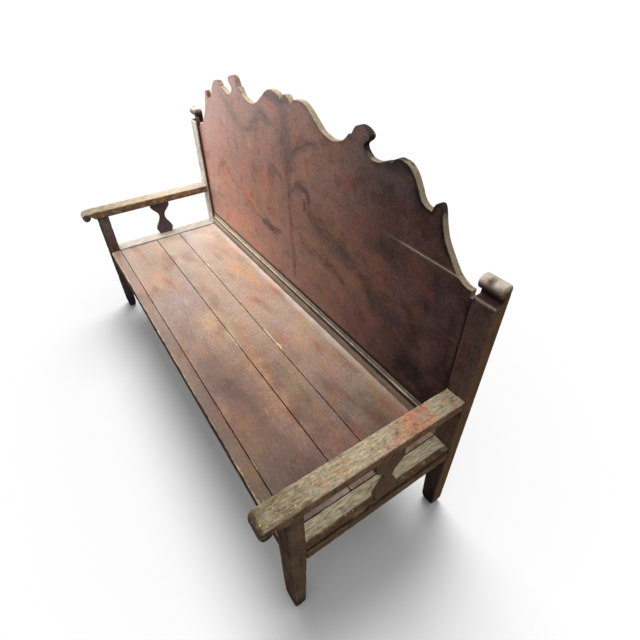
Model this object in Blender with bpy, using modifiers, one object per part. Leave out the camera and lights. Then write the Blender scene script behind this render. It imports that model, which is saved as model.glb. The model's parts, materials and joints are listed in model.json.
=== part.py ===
"""High-back bench with a scalloped crest, open arms and a plank seat.

Metres, +Z up, +X along the length and +Y towards the back.
The floor is z = 0 and the origin is under the middle of the bench.
"""
import math

import bmesh
import bpy

# Whole bench
LENGTH = 2.100
SEAT_HEIGHT = 0.401
CLEARANCE = 0.0003

# Rear posts
POST_WIDTH = 0.074
POST_DEPTH = 0.050
POST_FOOT_WIDTH = 0.055
POST_LEDGE_RISE = 0.620
SCROLL_RISE = 0.065
SCROLL_RADIUS = 0.0215
SCROLL_SETBACK = 0.004
SCROLL_NECK = 0.022

# Front legs
LEG_WIDTH = 0.070
LEG_DEPTH = 0.056
LEG_FOOT_WIDTH = 0.063
LEG_FOOT_DEPTH = 0.042
LEG_REACH = 0.644

# Worn ends of the feet
FOOT_WEAR_HEIGHT = 0.020
FOOT_WEAR_INSET = 0.009

# Arms
ARM_WIDTH = 0.074
ARM_THICKNESS = 0.041
ARM_RISE = 0.257
ARM_OVERHANG = 0.072
ARM_NOSE_RADIUS = 0.0205
ARM_NOSE_DROP = 0.004
ARM_HOLLOW = 0.0195
ARM_BRACKET = 0.011

# Splats that stand on the side rails and hold up the arms
SPLAT_THICKNESS = 0.019
SPLAT_SETBACK = 0.291
SPLAT_HEAD_WIDTH = 0.110
SPLAT_WAIST_WIDTH = 0.031
SPLAT_BULB_WIDTH = 0.094

# Seat rails
RAIL_DROP = 0.060
SIDE_RAIL_WIDTH = 0.070
SIDE_RAIL_RISE = 0.006
FRONT_RAIL_DEPTH = 0.050
FRONT_RAIL_SETBACK = 0.006
REAR_RAIL_DEPTH = 0.046
REAR_RAIL_SETBACK = 0.002
REAR_RAIL_RISE = 0.030

# Seat boards and what carries them
BOARD_THICKNESS = 0.025
BOARD_GAP = 0.004
BOARD_END_GAP = 0.005
FRONT_BOARD_WIDTH = 0.215
MIDDLE_BOARD_WIDTH = 0.136
BEARER_WIDTH = 0.045
BEARER_SPACING = 0.520
CLEAT_WIDTH = 0.028
CLEAT_HEIGHT = 0.030

# Back
PANEL_SETBACK = 0.018
PANEL_THICKNESS = 0.023
PANEL_TONGUE = 0.010
PANEL_END_RISE = 0.618
PANEL_NOTCH_WIDTH = 0.019
PANEL_NOTCH_DEPTH = 0.022
BOARD_JOINT_RISE = 0.635
CREST_RISE = 0.293
MOULDING_HEIGHT = 0.053

# Softened edges
FRAME_EDGE = 0.0025
BOARD_EDGE = 0.0015
ARM_EDGE = 0.0040
CREST_EDGE = 0.0010
CURVE_STEPS = 3

# Places that follow from the sizes
HALF = LENGTH / 2
DEPTH = POST_DEPTH + LEG_REACH + ARM_OVERHANG
POST_FACE = DEPTH / 2 - POST_DEPTH
LEG_FACE = POST_FACE - LEG_REACH
LEG_BACK = LEG_FACE + LEG_DEPTH
POST_INNER = HALF - POST_WIDTH
LEG_INNER = HALF - LEG_WIDTH
SIDE_RAIL_INNER = HALF - SIDE_RAIL_WIDTH
RAIL_BOTTOM = SEAT_HEIGHT - RAIL_DROP
RAIL_TOP = SEAT_HEIGHT + SIDE_RAIL_RISE
ARM_TOP = SEAT_HEIGHT + ARM_RISE
ARM_UNDERSIDE = ARM_TOP - ARM_THICKNESS
POST_LEDGE = SEAT_HEIGHT + POST_LEDGE_RISE
REAR_RAIL_TOP = SEAT_HEIGHT + REAR_RAIL_RISE
REAR_RAIL_FACE = POST_FACE + REAR_RAIL_SETBACK
FRONT_RAIL_FACE = LEG_FACE + FRONT_RAIL_SETBACK
FRONT_RAIL_BACK = FRONT_RAIL_FACE + FRONT_RAIL_DEPTH
BOARD_UNDERSIDE = SEAT_HEIGHT - BOARD_THICKNESS
PANEL_FACE = POST_FACE + PANEL_SETBACK
PANEL_BOTTOM = REAR_RAIL_TOP + CLEARANCE
PANEL_HALF = POST_INNER + PANEL_TONGUE
BOARD_JOINT = SEAT_HEIGHT + BOARD_JOINT_RISE

SMOOTH = "AUTO"
CORNER = "VECTOR"
ALONG_X = (math.pi / 2, 0.0, math.pi / 2)
ALONG_Y = (math.pi / 2, 0.0, 0.0)

# Right half of the crest, from its middle to the sweep beside the post.
# Each point is the distance from the middle, the height over the board joint and the kind.
CREST_HALF = [
    (0.013, 0.289, SMOOTH), (0.027, 0.281, SMOOTH), (0.036, 0.274, CORNER),
    (0.043, 0.273, CORNER), (0.048, 0.280, SMOOTH), (0.058, 0.285, SMOOTH),
    (0.076, 0.289, SMOOTH), (0.099, 0.291, SMOOTH), (0.123, 0.289, SMOOTH),
    (0.146, 0.281, SMOOTH), (0.171, 0.266, SMOOTH), (0.202, 0.245, SMOOTH),
    (0.232, 0.225, SMOOTH), (0.262, 0.214, SMOOTH), (0.300, 0.208, SMOOTH),
    (0.337, 0.215, SMOOTH), (0.362, 0.225, SMOOTH), (0.378, 0.240, SMOOTH),
    (0.391, 0.251, CORNER), (0.404, 0.252, CORNER), (0.412, 0.268, SMOOTH),
    (0.425, 0.282, SMOOTH), (0.446, 0.288, SMOOTH), (0.470, 0.285, SMOOTH),
    (0.489, 0.277, SMOOTH), (0.497, 0.267, SMOOTH), (0.491, 0.255, SMOOTH),
    (0.476, 0.244, SMOOTH), (0.470, 0.234, SMOOTH), (0.479, 0.220, SMOOTH),
    (0.500, 0.207, SMOOTH), (0.521, 0.204, SMOOTH), (0.545, 0.207, SMOOTH),
    (0.570, 0.217, SMOOTH), (0.585, 0.222, CORNER), (0.598, 0.220, CORNER),
    (0.607, 0.232, SMOOTH), (0.624, 0.240, SMOOTH), (0.646, 0.240, SMOOTH),
    (0.669, 0.233, SMOOTH), (0.690, 0.217, SMOOTH), (0.706, 0.196, SMOOTH),
    (0.718, 0.178, SMOOTH), (0.729, 0.160, SMOOTH), (0.748, 0.146, SMOOTH),
    (0.772, 0.140, CORNER), (0.776, 0.153, CORNER), (0.784, 0.165, SMOOTH),
    (0.794, 0.171, SMOOTH), (0.803, 0.167, SMOOTH), (0.810, 0.154, SMOOTH),
    (0.817, 0.131, SMOOTH), (0.825, 0.108, SMOOTH), (0.836, 0.083, SMOOTH),
    (0.852, 0.060, SMOOTH), (0.876, 0.030, SMOOTH),
]
CREST_TOP = 0.293
CREST_END = 0.902
CREST_SPAN = 0.976

PAINT = {
    "frame": ("#4b382d", 0.55),
    "back": ("#56372f", 0.42),
    "seat": ("#7a5647", 0.50),
    "arm": ("#8b7459", 0.62),
    "rail": ("#75634f", 0.65),
    "splat": ("#4a372e", 0.55),
    "moulding": ("#5b4839", 0.50),
    "raw": ("#8a7458", 0.75),
}


def clear_scene():
    """Remove whatever the open file holds."""
    for item in list(bpy.data.objects):
        bpy.data.objects.remove(item, do_unlink=True)
    for group in list(bpy.data.collections):
        bpy.data.collections.remove(group)


def linear(code):
    """Turn a colour code into linear red, green and blue."""
    values = [int(code[i:i + 2], 16) / 255 for i in (1, 3, 5)]
    return [v / 12.92 if v <= 0.04045 else ((v + 0.055) / 1.055) ** 2.4 for v in values]


def dress(item, finish):
    """Give a piece its own material in one of the bench's finishes."""
    code, roughness = PAINT[finish]
    material = bpy.data.materials.new(item.name + "_" + finish)
    material.use_nodes = True
    shader = material.node_tree.nodes["Principled BSDF"]
    shader.inputs["Base Color"].default_value = (*linear(code), 1.0)
    shader.inputs["Roughness"].default_value = roughness
    shader.inputs["Metallic"].default_value = 0.0
    material.diffuse_color = (*linear(code), 1.0)
    item.data.materials.clear()
    item.data.materials.append(material)


def place(item, location, rotation=(0.0, 0.0, 0.0)):
    """Link a piece to the bench and set it in its place."""
    bench.objects.link(item)
    item.parent = origin
    item.location = location
    item.rotation_euler = rotation
    return item


def soften(item, width, segments=2, angle=40):
    """Round the edges that turn by more than the angle."""
    bevel = item.modifiers.new("softened_edges", "BEVEL")
    bevel.width = width
    bevel.segments = segments
    bevel.limit_method = "ANGLE"
    bevel.angle_limit = math.radians(angle)
    bevel.use_clamp_overlap = True


def block(name, low, high, finish, edge=FRAME_EDGE):
    """Make a box between two corners."""
    size = [b - a for a, b in zip(low, high)]
    centre = [(a + b) / 2 for a, b in zip(low, high)]
    shape = bmesh.new()
    bmesh.ops.create_cube(shape, size=1.0)
    bmesh.ops.scale(shape, vec=size, verts=shape.verts)
    mesh = bpy.data.meshes.new(name)
    shape.to_mesh(mesh)
    shape.free()
    item = place(bpy.data.objects.new(name, mesh), centre)
    soften(item, edge)
    dress(item, finish)
    return item


def cut_out(name, points, thickness):
    """Make a closed mesh from a flat outline, thickened equally to both sides."""
    curve = bpy.data.curves.new(name + "_outline", "CURVE")
    curve.dimensions = "2D"
    curve.fill_mode = "BOTH"
    curve.extrude = thickness / 2
    curve.resolution_u = CURVE_STEPS
    spline = curve.splines.new("BEZIER")
    spline.bezier_points.add(len(points) - 1)
    for knot, (across, up, kind) in zip(spline.bezier_points, points):
        knot.co = (across, up, 0.0)
        knot.handle_left_type = kind
        knot.handle_right_type = kind
    spline.use_cyclic_u = True
    draft = bpy.data.objects.new(name + "_draft", curve)
    bpy.context.scene.collection.objects.link(draft)
    bpy.context.view_layer.update()
    graph = bpy.context.evaluated_depsgraph_get()
    mesh = bpy.data.meshes.new_from_object(draft.evaluated_get(graph))
    mesh.name = name
    bpy.data.objects.remove(draft, do_unlink=True)
    shape = bmesh.new()
    shape.from_mesh(mesh)
    bmesh.ops.remove_doubles(shape, verts=shape.verts, dist=0.00005)
    bmesh.ops.dissolve_limit(
        shape, angle_limit=math.radians(0.2), verts=shape.verts, edges=shape.edges
    )
    bmesh.ops.recalc_face_normals(shape, faces=shape.faces)
    shape.to_mesh(mesh)
    shape.free()
    return mesh


def slice_at(shape, height, axis):
    """Add a ring of edges round a mesh at one height of the given local axis."""
    normal = [0.0, 0.0, 0.0]
    normal[axis] = 1.0
    point = [height * n for n in normal]
    bmesh.ops.bisect_plane(
        shape,
        geom=shape.verts[:] + shape.edges[:] + shape.faces[:],
        plane_co=point,
        plane_no=normal,
    )


def wear(value, low, high, height):
    """Draw a coordinate in towards the middle of a foot, most at the floor."""
    share = max(0.0, 1.0 - height / FOOT_WEAR_HEIGHT)
    inset = FOOT_WEAR_INSET * share * share
    middle = (low + high) / 2
    return value - inset if value > middle else value + inset


def arc(centre, radius, start, stop, count):
    """List smooth points on a circle between two angles in degrees."""
    turns = [math.radians(start + (stop - start) * i / count) for i in range(count + 1)]
    return [
        (centre[0] + radius * math.cos(t), centre[1] + radius * math.sin(t), SMOOTH)
        for t in turns
    ]


def make_post(name, side):
    """Rear post: a tapered foot, a shouldered top that rolls forward, a groove for the back."""
    roll_y = SCROLL_SETBACK + SCROLL_RADIUS
    roll_z = POST_LEDGE + SCROLL_RISE - SCROLL_RADIUS
    neck_y = POST_DEPTH - SCROLL_NECK
    points = [
        (0.0, 0.0, CORNER),
        (0.0, POST_LEDGE, CORNER),
        (neck_y - 0.002, POST_LEDGE, CORNER),
        (neck_y, POST_LEDGE + 0.008, SMOOTH),
        (neck_y - 0.001, roll_z - SCROLL_RADIUS - 0.003, CORNER),
    ]
    points += arc((roll_y, roll_z), SCROLL_RADIUS, -85, -270, 6)
    points += [
        (POST_DEPTH - 0.008, POST_LEDGE + SCROLL_RISE - 0.004, SMOOTH),
        (POST_DEPTH, POST_LEDGE + SCROLL_RISE - 0.018, CORNER),
        (POST_DEPTH, 0.0, CORNER),
    ]
    mesh = cut_out(name, points, POST_WIDTH)
    shape = bmesh.new()
    shape.from_mesh(mesh)
    for height in (RAIL_BOTTOM, FOOT_WEAR_HEIGHT, FOOT_WEAR_HEIGHT / 2):
        slice_at(shape, height, 1)
    half = POST_WIDTH / 2
    for vert in shape.verts:
        if vert.co.y > RAIL_BOTTOM - 0.00001:
            continue
        drop = 1.0 - vert.co.y / RAIL_BOTTOM
        inner = half - (POST_WIDTH - POST_FOOT_WIDTH) * drop
        if vert.co.z * side < 0:
            vert.co.z = -side * inner
        vert.co.x = wear(vert.co.x, 0.0, POST_DEPTH, vert.co.y)
        ends = sorted((-side * inner, side * half))
        vert.co.z = wear(vert.co.z, ends[0], ends[1], vert.co.y)
    bmesh.ops.recalc_face_normals(shape, faces=shape.faces)
    shape.to_mesh(mesh)
    shape.free()
    item = place(
        bpy.data.objects.new(name, mesh),
        (side * (HALF - POST_WIDTH / 2), POST_FACE, 0.0),
        ALONG_X,
    )
    soften(item, FRAME_EDGE)
    dress(item, "frame")
    groove = make_groove(name + "_groove", side)
    cut = item.modifiers.new("panel_groove", "BOOLEAN")
    cut.operation = "DIFFERENCE"
    cut.solver = "EXACT"
    cut.object = groove
    return item


def make_groove(name, side):
    """Cutter for the groove that takes one edge of the back panel."""
    low = PANEL_BOTTOM - CLEARANCE
    high = SEAT_HEIGHT + PANEL_END_RISE - PANEL_NOTCH_DEPTH + CLEARANCE
    depth = PANEL_TONGUE + CLEARANCE
    width = PANEL_THICKNESS + 2 * CLEARANCE
    shape = bmesh.new()
    bmesh.ops.create_cube(shape, size=1.0)
    bmesh.ops.scale(shape, vec=(2 * depth, width, high - low), verts=shape.verts)
    mesh = bpy.data.meshes.new(name)
    shape.to_mesh(mesh)
    shape.free()
    item = bpy.data.objects.new(name, mesh)
    cutters.objects.link(item)
    item.location = (side * POST_INNER, PANEL_FACE + PANEL_THICKNESS / 2, (low + high) / 2)
    item.display_type = "WIRE"
    item.hide_render = True
    return item


def make_leg(name, side):
    """Front leg: square to the rail, tapered on its inner and rear faces below it."""
    top = ARM_UNDERSIDE - CLEARANCE
    shape = bmesh.new()
    bmesh.ops.create_cube(shape, size=1.0)
    bmesh.ops.scale(shape, vec=(LEG_WIDTH, LEG_DEPTH, top), verts=shape.verts)
    bmesh.ops.translate(shape, vec=(0.0, LEG_DEPTH / 2, top / 2), verts=shape.verts)
    for height in (RAIL_BOTTOM, FOOT_WEAR_HEIGHT, FOOT_WEAR_HEIGHT / 2):
        slice_at(shape, height, 2)
    half = LEG_WIDTH / 2
    for vert in shape.verts:
        if vert.co.z > RAIL_BOTTOM - 0.00001:
            continue
        drop = 1.0 - vert.co.z / RAIL_BOTTOM
        inner = half - (LEG_WIDTH - LEG_FOOT_WIDTH) * drop
        back = LEG_DEPTH - (LEG_DEPTH - LEG_FOOT_DEPTH) * drop
        if vert.co.x * side < 0:
            vert.co.x = -side * inner
        if vert.co.y > LEG_DEPTH / 2:
            vert.co.y = back
        ends = sorted((-side * inner, side * half))
        vert.co.x = wear(vert.co.x, ends[0], ends[1], vert.co.z)
        vert.co.y = wear(vert.co.y, 0.0, back, vert.co.z)
    bmesh.ops.recalc_face_normals(shape, faces=shape.faces)
    mesh = bpy.data.meshes.new(name)
    shape.to_mesh(mesh)
    shape.free()
    item = place(bpy.data.objects.new(name, mesh), (side * (HALF - LEG_WIDTH / 2), LEG_FACE, 0.0))
    soften(item, FRAME_EDGE)
    dress(item, "frame")
    return item


def make_arm(name, side):
    """Arm: a flat rail with a rolled nose and a small hollow bracket before the leg."""
    reach = LEG_REACH + ARM_OVERHANG
    nose = (-reach + ARM_NOSE_RADIUS, ARM_NOSE_RADIUS - ARM_NOSE_DROP)
    hollow = nose[0] + ARM_NOSE_RADIUS + 0.0015
    bracket = -LEG_REACH - ARM_BRACKET
    points = [
        (-CLEARANCE, 0.0, CORNER),
        (bracket, 0.0, CORNER),
        ((bracket + hollow) / 2 - 0.001, ARM_HOLLOW / 2, SMOOTH),
        (hollow, ARM_HOLLOW, CORNER),
    ]
    points += arc(nose, ARM_NOSE_RADIUS, -8, -262, 7)
    points += [
        (nose[0] + 0.020, ARM_THICKNESS - 0.0012, SMOOTH),
        (nose[0] + 0.042, ARM_THICKNESS, CORNER),
        (-CLEARANCE, ARM_THICKNESS, CORNER),
    ]
    item = place(
        bpy.data.objects.new(name, cut_out(name, points, ARM_WIDTH)),
        (side * (HALF - ARM_WIDTH / 2), POST_FACE, ARM_UNDERSIDE),
        ALONG_X,
    )
    soften(item, ARM_EDGE, segments=3)
    dress(item, "arm")
    return item


def make_splat(name, side):
    """Splat: a flat baluster with a square head, a narrow waist and a round bulb."""
    head = SPLAT_HEAD_WIDTH / 2
    waist = SPLAT_WAIST_WIDTH / 2
    bulb = SPLAT_BULB_WIDTH / 2
    base = RAIL_TOP + CLEARANCE
    height = ARM_UNDERSIDE - CLEARANCE - base
    half = [
        (bulb - 0.011, 0.0, CORNER),
        (bulb - 0.003, 0.016, SMOOTH),
        (bulb, 0.033, SMOOTH),
        (bulb - 0.009, 0.055, SMOOTH),
        (waist + 0.0105, 0.075, SMOOTH),
        (waist + 0.002, 0.095, SMOOTH),
        (waist, 0.109, SMOOTH),
        (waist + 0.0055, 0.129, SMOOTH),
        (head - 0.023, 0.142, SMOOTH),
        (head - 0.010, 0.156, SMOOTH),
        (head - 0.001, 0.168, SMOOTH),
        (head, 0.178, CORNER),
        (head, height, CORNER),
    ]
    points = half + [(-across, up, kind) for across, up, kind in reversed(half)]
    item = place(
        bpy.data.objects.new(name, cut_out(name, points, SPLAT_THICKNESS)),
        (side * (HALF - SPLAT_THICKNESS / 2), POST_FACE - SPLAT_SETBACK, base),
        ALONG_X,
    )
    soften(item, BOARD_EDGE, segments=1)
    dress(item, "splat")
    return item


def sweep(half):
    """Stretch the crest's drawn points to the space between the posts and its rise."""
    wide = POST_INNER / CREST_SPAN
    tall = CREST_RISE / CREST_TOP
    return [(across * wide, up * tall, kind) for across, up, kind in half]


def make_crest(name):
    """Crest board: scrolled lobes and knobs, the same on both halves."""
    half = sweep(CREST_HALF)
    end = CREST_END * POST_INNER / CREST_SPAN
    right = half + [(end, CLEARANCE / 2, CORNER)]
    left = [(-across, up, kind) for across, up, kind in reversed(right)]
    points = left + [(0.0, CREST_RISE, SMOOTH)] + right
    item = place(
        bpy.data.objects.new(name, cut_out(name, points, PANEL_THICKNESS)),
        (0.0, PANEL_FACE + PANEL_THICKNESS / 2, BOARD_JOINT),
        ALONG_Y,
    )
    soften(item, CREST_EDGE, segments=1, angle=60)
    dress(item, "back")
    return item


def make_panel(name):
    """Back panel: the wide lower board, let into the posts, with the ends of the sweep."""
    end = CREST_END * POST_INNER / CREST_SPAN
    top = BOARD_JOINT - PANEL_BOTTOM - CLEARANCE / 2
    edge = SEAT_HEIGHT + PANEL_END_RISE - PANEL_BOTTOM
    shoulder = edge - PANEL_NOTCH_DEPTH
    notch = POST_INNER - PANEL_NOTCH_WIDTH
    room = notch - end
    half = [
        (PANEL_HALF, 0.0, CORNER),
        (PANEL_HALF, shoulder, CORNER),
        (notch, shoulder, CORNER),
        (notch, edge, CORNER),
        (notch - 0.28 * room, edge - 0.001, SMOOTH),
        (notch - 0.62 * room, edge + 0.005, SMOOTH),
        (end, top, CORNER),
    ]
    points = half + [(-across, up, kind) for across, up, kind in reversed(half)]
    item = place(
        bpy.data.objects.new(name, cut_out(name, points, PANEL_THICKNESS)),
        (0.0, PANEL_FACE + PANEL_THICKNESS / 2, PANEL_BOTTOM),
        ALONG_Y,
    )
    soften(item, CREST_EDGE, segments=1, angle=60)
    dress(item, "back")
    return item


def make_moulding(name):
    """Moulding at the foot of the back: a hollow, an arris, a quirk and a bevelled fillet."""
    deep = PANEL_SETBACK - REAR_RAIL_SETBACK - CLEARANCE
    base = REAR_RAIL_TOP + CLEARANCE
    points = [
        (0.0, 0.0, CORNER),
        (deep, 0.0, CORNER),
        (deep, MOULDING_HEIGHT, CORNER),
        (deep - 0.0015, MOULDING_HEIGHT, CORNER),
        (deep - 0.0055, MOULDING_HEIGHT - 0.021, CORNER),
        (deep - 0.0025, MOULDING_HEIGHT - 0.024, CORNER),
        (deep - 0.0025, MOULDING_HEIGHT - 0.028, CORNER),
        (deep - 0.0060, MOULDING_HEIGHT - 0.030, CORNER),
        (0.0045, 0.016, SMOOTH),
        (0.0, 0.004, CORNER),
    ]
    item = place(
        bpy.data.objects.new(name, cut_out(name, points, 2 * (POST_INNER - CLEARANCE))),
        (0.0, REAR_RAIL_FACE, base),
        ALONG_X,
    )
    dress(item, "moulding")
    return item


def make_frame():
    """Posts, legs, arms, splats and the four seat rails."""
    gap = CLEARANCE
    for word, side in (("left", -1), ("right", 1)):
        make_post("post_" + word, side)
        make_leg("leg_" + word, side)
        make_arm("arm_" + word, side)
        make_splat("splat_" + word, side)
        near, far = sorted((side * SIDE_RAIL_INNER, side * HALF))
        block(
            "seat_rail_" + word,
            (near, LEG_BACK + gap, RAIL_BOTTOM),
            (far, POST_FACE - gap, RAIL_TOP),
            "rail",
        )
    block(
        "seat_rail_front",
        (-LEG_INNER + gap, FRONT_RAIL_FACE, RAIL_BOTTOM),
        (LEG_INNER - gap, FRONT_RAIL_BACK, SEAT_HEIGHT),
        "seat",
    )
    block(
        "seat_rail_rear",
        (-POST_INNER + gap, REAR_RAIL_FACE, RAIL_BOTTOM),
        (POST_INNER - gap, REAR_RAIL_FACE + REAR_RAIL_DEPTH, REAR_RAIL_TOP),
        "frame",
    )


def make_seat():
    """Three long boards on cross bearers, with a cleat along each side rail."""
    gap = CLEARANCE
    end = SIDE_RAIL_INNER - BOARD_END_GAP
    front = FRONT_RAIL_BACK + gap
    middle = front + FRONT_BOARD_WIDTH + BOARD_GAP
    rear = middle + MIDDLE_BOARD_WIDTH + BOARD_GAP
    spans = (
        ("seat_board_front", front, front + FRONT_BOARD_WIDTH),
        ("seat_board_middle", middle, middle + MIDDLE_BOARD_WIDTH),
        ("seat_board_rear", rear, REAR_RAIL_FACE - gap),
    )
    for name, start, stop in spans:
        block(name, (-end, start, BOARD_UNDERSIDE), (end, stop, SEAT_HEIGHT), "seat", BOARD_EDGE)
    for word, place_x in (("left", -BEARER_SPACING), ("middle", 0.0), ("right", BEARER_SPACING)):
        block(
            "seat_bearer_" + word,
            (place_x - BEARER_WIDTH / 2, FRONT_RAIL_BACK + gap, RAIL_BOTTOM),
            (place_x + BEARER_WIDTH / 2, REAR_RAIL_FACE - gap, BOARD_UNDERSIDE - gap),
            "raw",
            BOARD_EDGE,
        )
    top = BOARD_UNDERSIDE - gap
    for word, side in (("left", -1), ("right", 1)):
        face = SIDE_RAIL_INNER - gap
        near, far = sorted((side * (face - CLEAT_WIDTH), side * face))
        block(
            "seat_cleat_" + word,
            (near, FRONT_RAIL_BACK + gap, top - CLEAT_HEIGHT),
            (far, POST_FACE - gap, top),
            "raw",
            BOARD_EDGE,
        )


def make_back():
    """Moulding, panel and crest."""
    make_moulding("back_moulding")
    make_panel("back_panel")
    make_crest("crest_board")


clear_scene()
bench = bpy.data.collections.new("high_back_bench")
cutters = bpy.data.collections.new("cutters")
bpy.context.scene.collection.children.link(bench)
bpy.context.scene.collection.children.link(cutters)
cutters.hide_render = True
origin = bpy.data.objects.new("bench_origin", None)
bench.objects.link(origin)
make_frame()
make_seat()
make_back()
bpy.context.view_layer.update()
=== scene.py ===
"""Looks of the high-back bench: worn, faux-grained paint over softwood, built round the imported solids.

Metres, +Z up, +X along the bench towards its near end, +Y towards the back.
"""

from __future__ import annotations

import itertools
import json
import logging
import math
from dataclasses import dataclass, replace
from enum import Enum

import bpy
import numpy as np
from bpy.types import Collection, Material, Mesh, NodeSocket, NodeTree, Object
from mathutils import Matrix, Vector
from mathutils.geometry import delaunay_2d_cdt

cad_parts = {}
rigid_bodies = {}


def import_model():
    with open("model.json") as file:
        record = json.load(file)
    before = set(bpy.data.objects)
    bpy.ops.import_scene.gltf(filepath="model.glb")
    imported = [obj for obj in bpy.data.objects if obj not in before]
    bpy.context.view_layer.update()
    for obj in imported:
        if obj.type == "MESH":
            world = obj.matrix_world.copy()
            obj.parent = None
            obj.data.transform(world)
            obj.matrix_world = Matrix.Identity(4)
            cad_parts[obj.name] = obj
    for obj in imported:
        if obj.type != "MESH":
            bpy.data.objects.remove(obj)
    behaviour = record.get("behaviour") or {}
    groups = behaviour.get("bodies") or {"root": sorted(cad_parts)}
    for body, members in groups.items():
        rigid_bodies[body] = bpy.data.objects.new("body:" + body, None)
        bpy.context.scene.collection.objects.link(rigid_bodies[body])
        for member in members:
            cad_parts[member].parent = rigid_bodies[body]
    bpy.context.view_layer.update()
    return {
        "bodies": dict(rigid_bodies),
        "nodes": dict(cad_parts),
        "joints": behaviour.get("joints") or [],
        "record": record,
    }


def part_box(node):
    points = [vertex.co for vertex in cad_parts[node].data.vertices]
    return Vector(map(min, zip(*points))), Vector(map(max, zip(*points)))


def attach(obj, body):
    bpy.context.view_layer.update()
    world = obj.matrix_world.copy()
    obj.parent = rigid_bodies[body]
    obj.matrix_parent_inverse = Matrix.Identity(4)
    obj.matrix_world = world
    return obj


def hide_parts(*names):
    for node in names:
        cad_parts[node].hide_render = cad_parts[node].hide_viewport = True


LOG = logging.getLogger("bench")
BODY = "root"
# What a full red and a full blue cast do to the paint's red, green and blue
RED_CAST = (0.14, -0.07, -0.07)
BLUE_CAST = (-0.02, -0.02, 0.26)
CORNER = True
CURVE = False
HALF_LENGTH = 1.05
# A point belongs to a board's front or rear face where it faces that way by more than this
FLAT = 0.3
# Most distances worked out at a time, to spare memory
BLOCK = 4000000

# Rows of points that follow the edge of a face, so that wear along the edge can fade
EDGE_ROWS = (0.004, 0.009)


class Lie(Enum):
    """How a slab lies: the directions of its two drawn axes and of its thickness."""

    PLAN = ((1.0, 0.0, 0.0), (0.0, 1.0, 0.0), (0.0, 0.0, 1.0))
    FRONT = ((1.0, 0.0, 0.0), (0.0, 0.0, 1.0), (0.0, -1.0, 0.0))
    END = ((0.0, 1.0, 0.0), (0.0, 0.0, 1.0), (1.0, 0.0, 0.0))


class Grain(Enum):
    """The direction in which the wood's fibres run."""

    LONG = 0
    DEEP = 1
    UP = 2


class Side(Enum):
    """An end of the bench: the sign of x there."""

    LEFT = -1
    RIGHT = 1

    @property
    def word(self) -> str:
        """The end's name in the names of its pieces."""
        return self.name.lower()


@dataclass
class Shell:
    """A surface in numbers.

    Attributes:
        points: the place of each point.
        faces: the point numbers of each face.
        inset: distance of each point from the edge of its flat face, nought on the edge band.
        facing: 1 on the front face, -1 on the rear face and nought on the edge band.
    """

    points: np.ndarray
    faces: list[list[int]]
    inset: np.ndarray
    facing: np.ndarray

    def arris(self, reach: float, sharpness: float) -> np.ndarray:
        """One on the arrises: it falls off with the inset, and as the facing leaves one half."""
        return fall(self.inset, reach) * np.exp(-sharpness * np.abs(np.abs(self.facing) - 0.5))

    def band(self) -> np.ndarray:
        """One on the edge band, nought on both faces."""
        return np.clip(1 - np.abs(self.facing), 0, 1)


@dataclass(frozen=True)
class Patch:
    """A soft oval of wear or colour.

    Attributes:
        at: its middle.
        reach: its half length and half width.
        strength: its value in the middle.
    """

    at: tuple[float, float]
    reach: tuple[float, float]
    strength: float


@dataclass(frozen=True)
class Stroke:
    """A stroke of the graining brush.

    Attributes:
        path: points that it passes through.
        width: half its width in the middle of its run.
        strength: how dark it is.
    """

    path: tuple[tuple[float, float], ...]
    width: float
    strength: float


def linear(code: str) -> tuple[float, float, float, float]:
    """Turn an sRGB hex value into linear light.

    Args:
        code: colour such as "#7a5647".

    Returns:
        Red, green, blue and an alpha of one.
    """
    values = np.array([int(code[i:i + 2], 16) for i in (1, 3, 5)]) / 255
    light = np.where(values <= 0.04045, values / 12.92, ((values + 0.055) / 1.055) ** 2.4)
    return (float(light[0]), float(light[1]), float(light[2]), 1.0)


def value_noise(points: np.ndarray, cell: float, seed: int) -> np.ndarray:
    """Smooth random values from 0 to 1 over space.

    Each corner of a lattice has a fixed value from a whole-number hash, and a point takes the
    eight corners round it, weighted by smooth steps along the three axes.

    Args:
        points: places, three columns.
        cell: lattice spacing.
        seed: picks another field.

    Returns:
        One value for each place.
    """
    scaled = points / cell
    base = np.floor(scaled).astype(np.int64)
    share = scaled - base
    share = share * share * (3 - 2 * share)
    total = np.zeros(len(points))
    for corner in itertools.product((0, 1), repeat=3):
        spot = base + np.array(corner)
        mixed = spot[:, 0] * 73856093 ^ spot[:, 1] * 19349663 ^ spot[:, 2] * 83492791 ^ seed * 2654435761
        mixed = (mixed ^ (mixed >> 13)) * 1274126177
        value = ((mixed ^ (mixed >> 16)) & 0xFFFF) / 65535
        weight = np.prod(np.where(np.array(corner) == 1, share, 1 - share), axis=1)
        total += weight * value
    return total


def smooth_step(values: np.ndarray, low: float, high: float) -> np.ndarray:
    """Rise from 0 at low to 1 at high with level ends."""
    share = np.clip((values - low) / (high - low), 0.0, 1.0)
    return share * share * (3 - 2 * share)


def bell(values: np.ndarray, middle: float, reach: float) -> np.ndarray:
    """One in the middle and less on both sides: e to minus the squared distance, counted in reaches."""
    return np.exp(-(((values - middle) / reach) ** 2))


def fall(distance: np.ndarray, reach: float) -> np.ndarray:
    """One at no distance and less farther off: e to minus the distance, counted in reaches."""
    return np.exp(-np.abs(distance) / reach)


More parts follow.
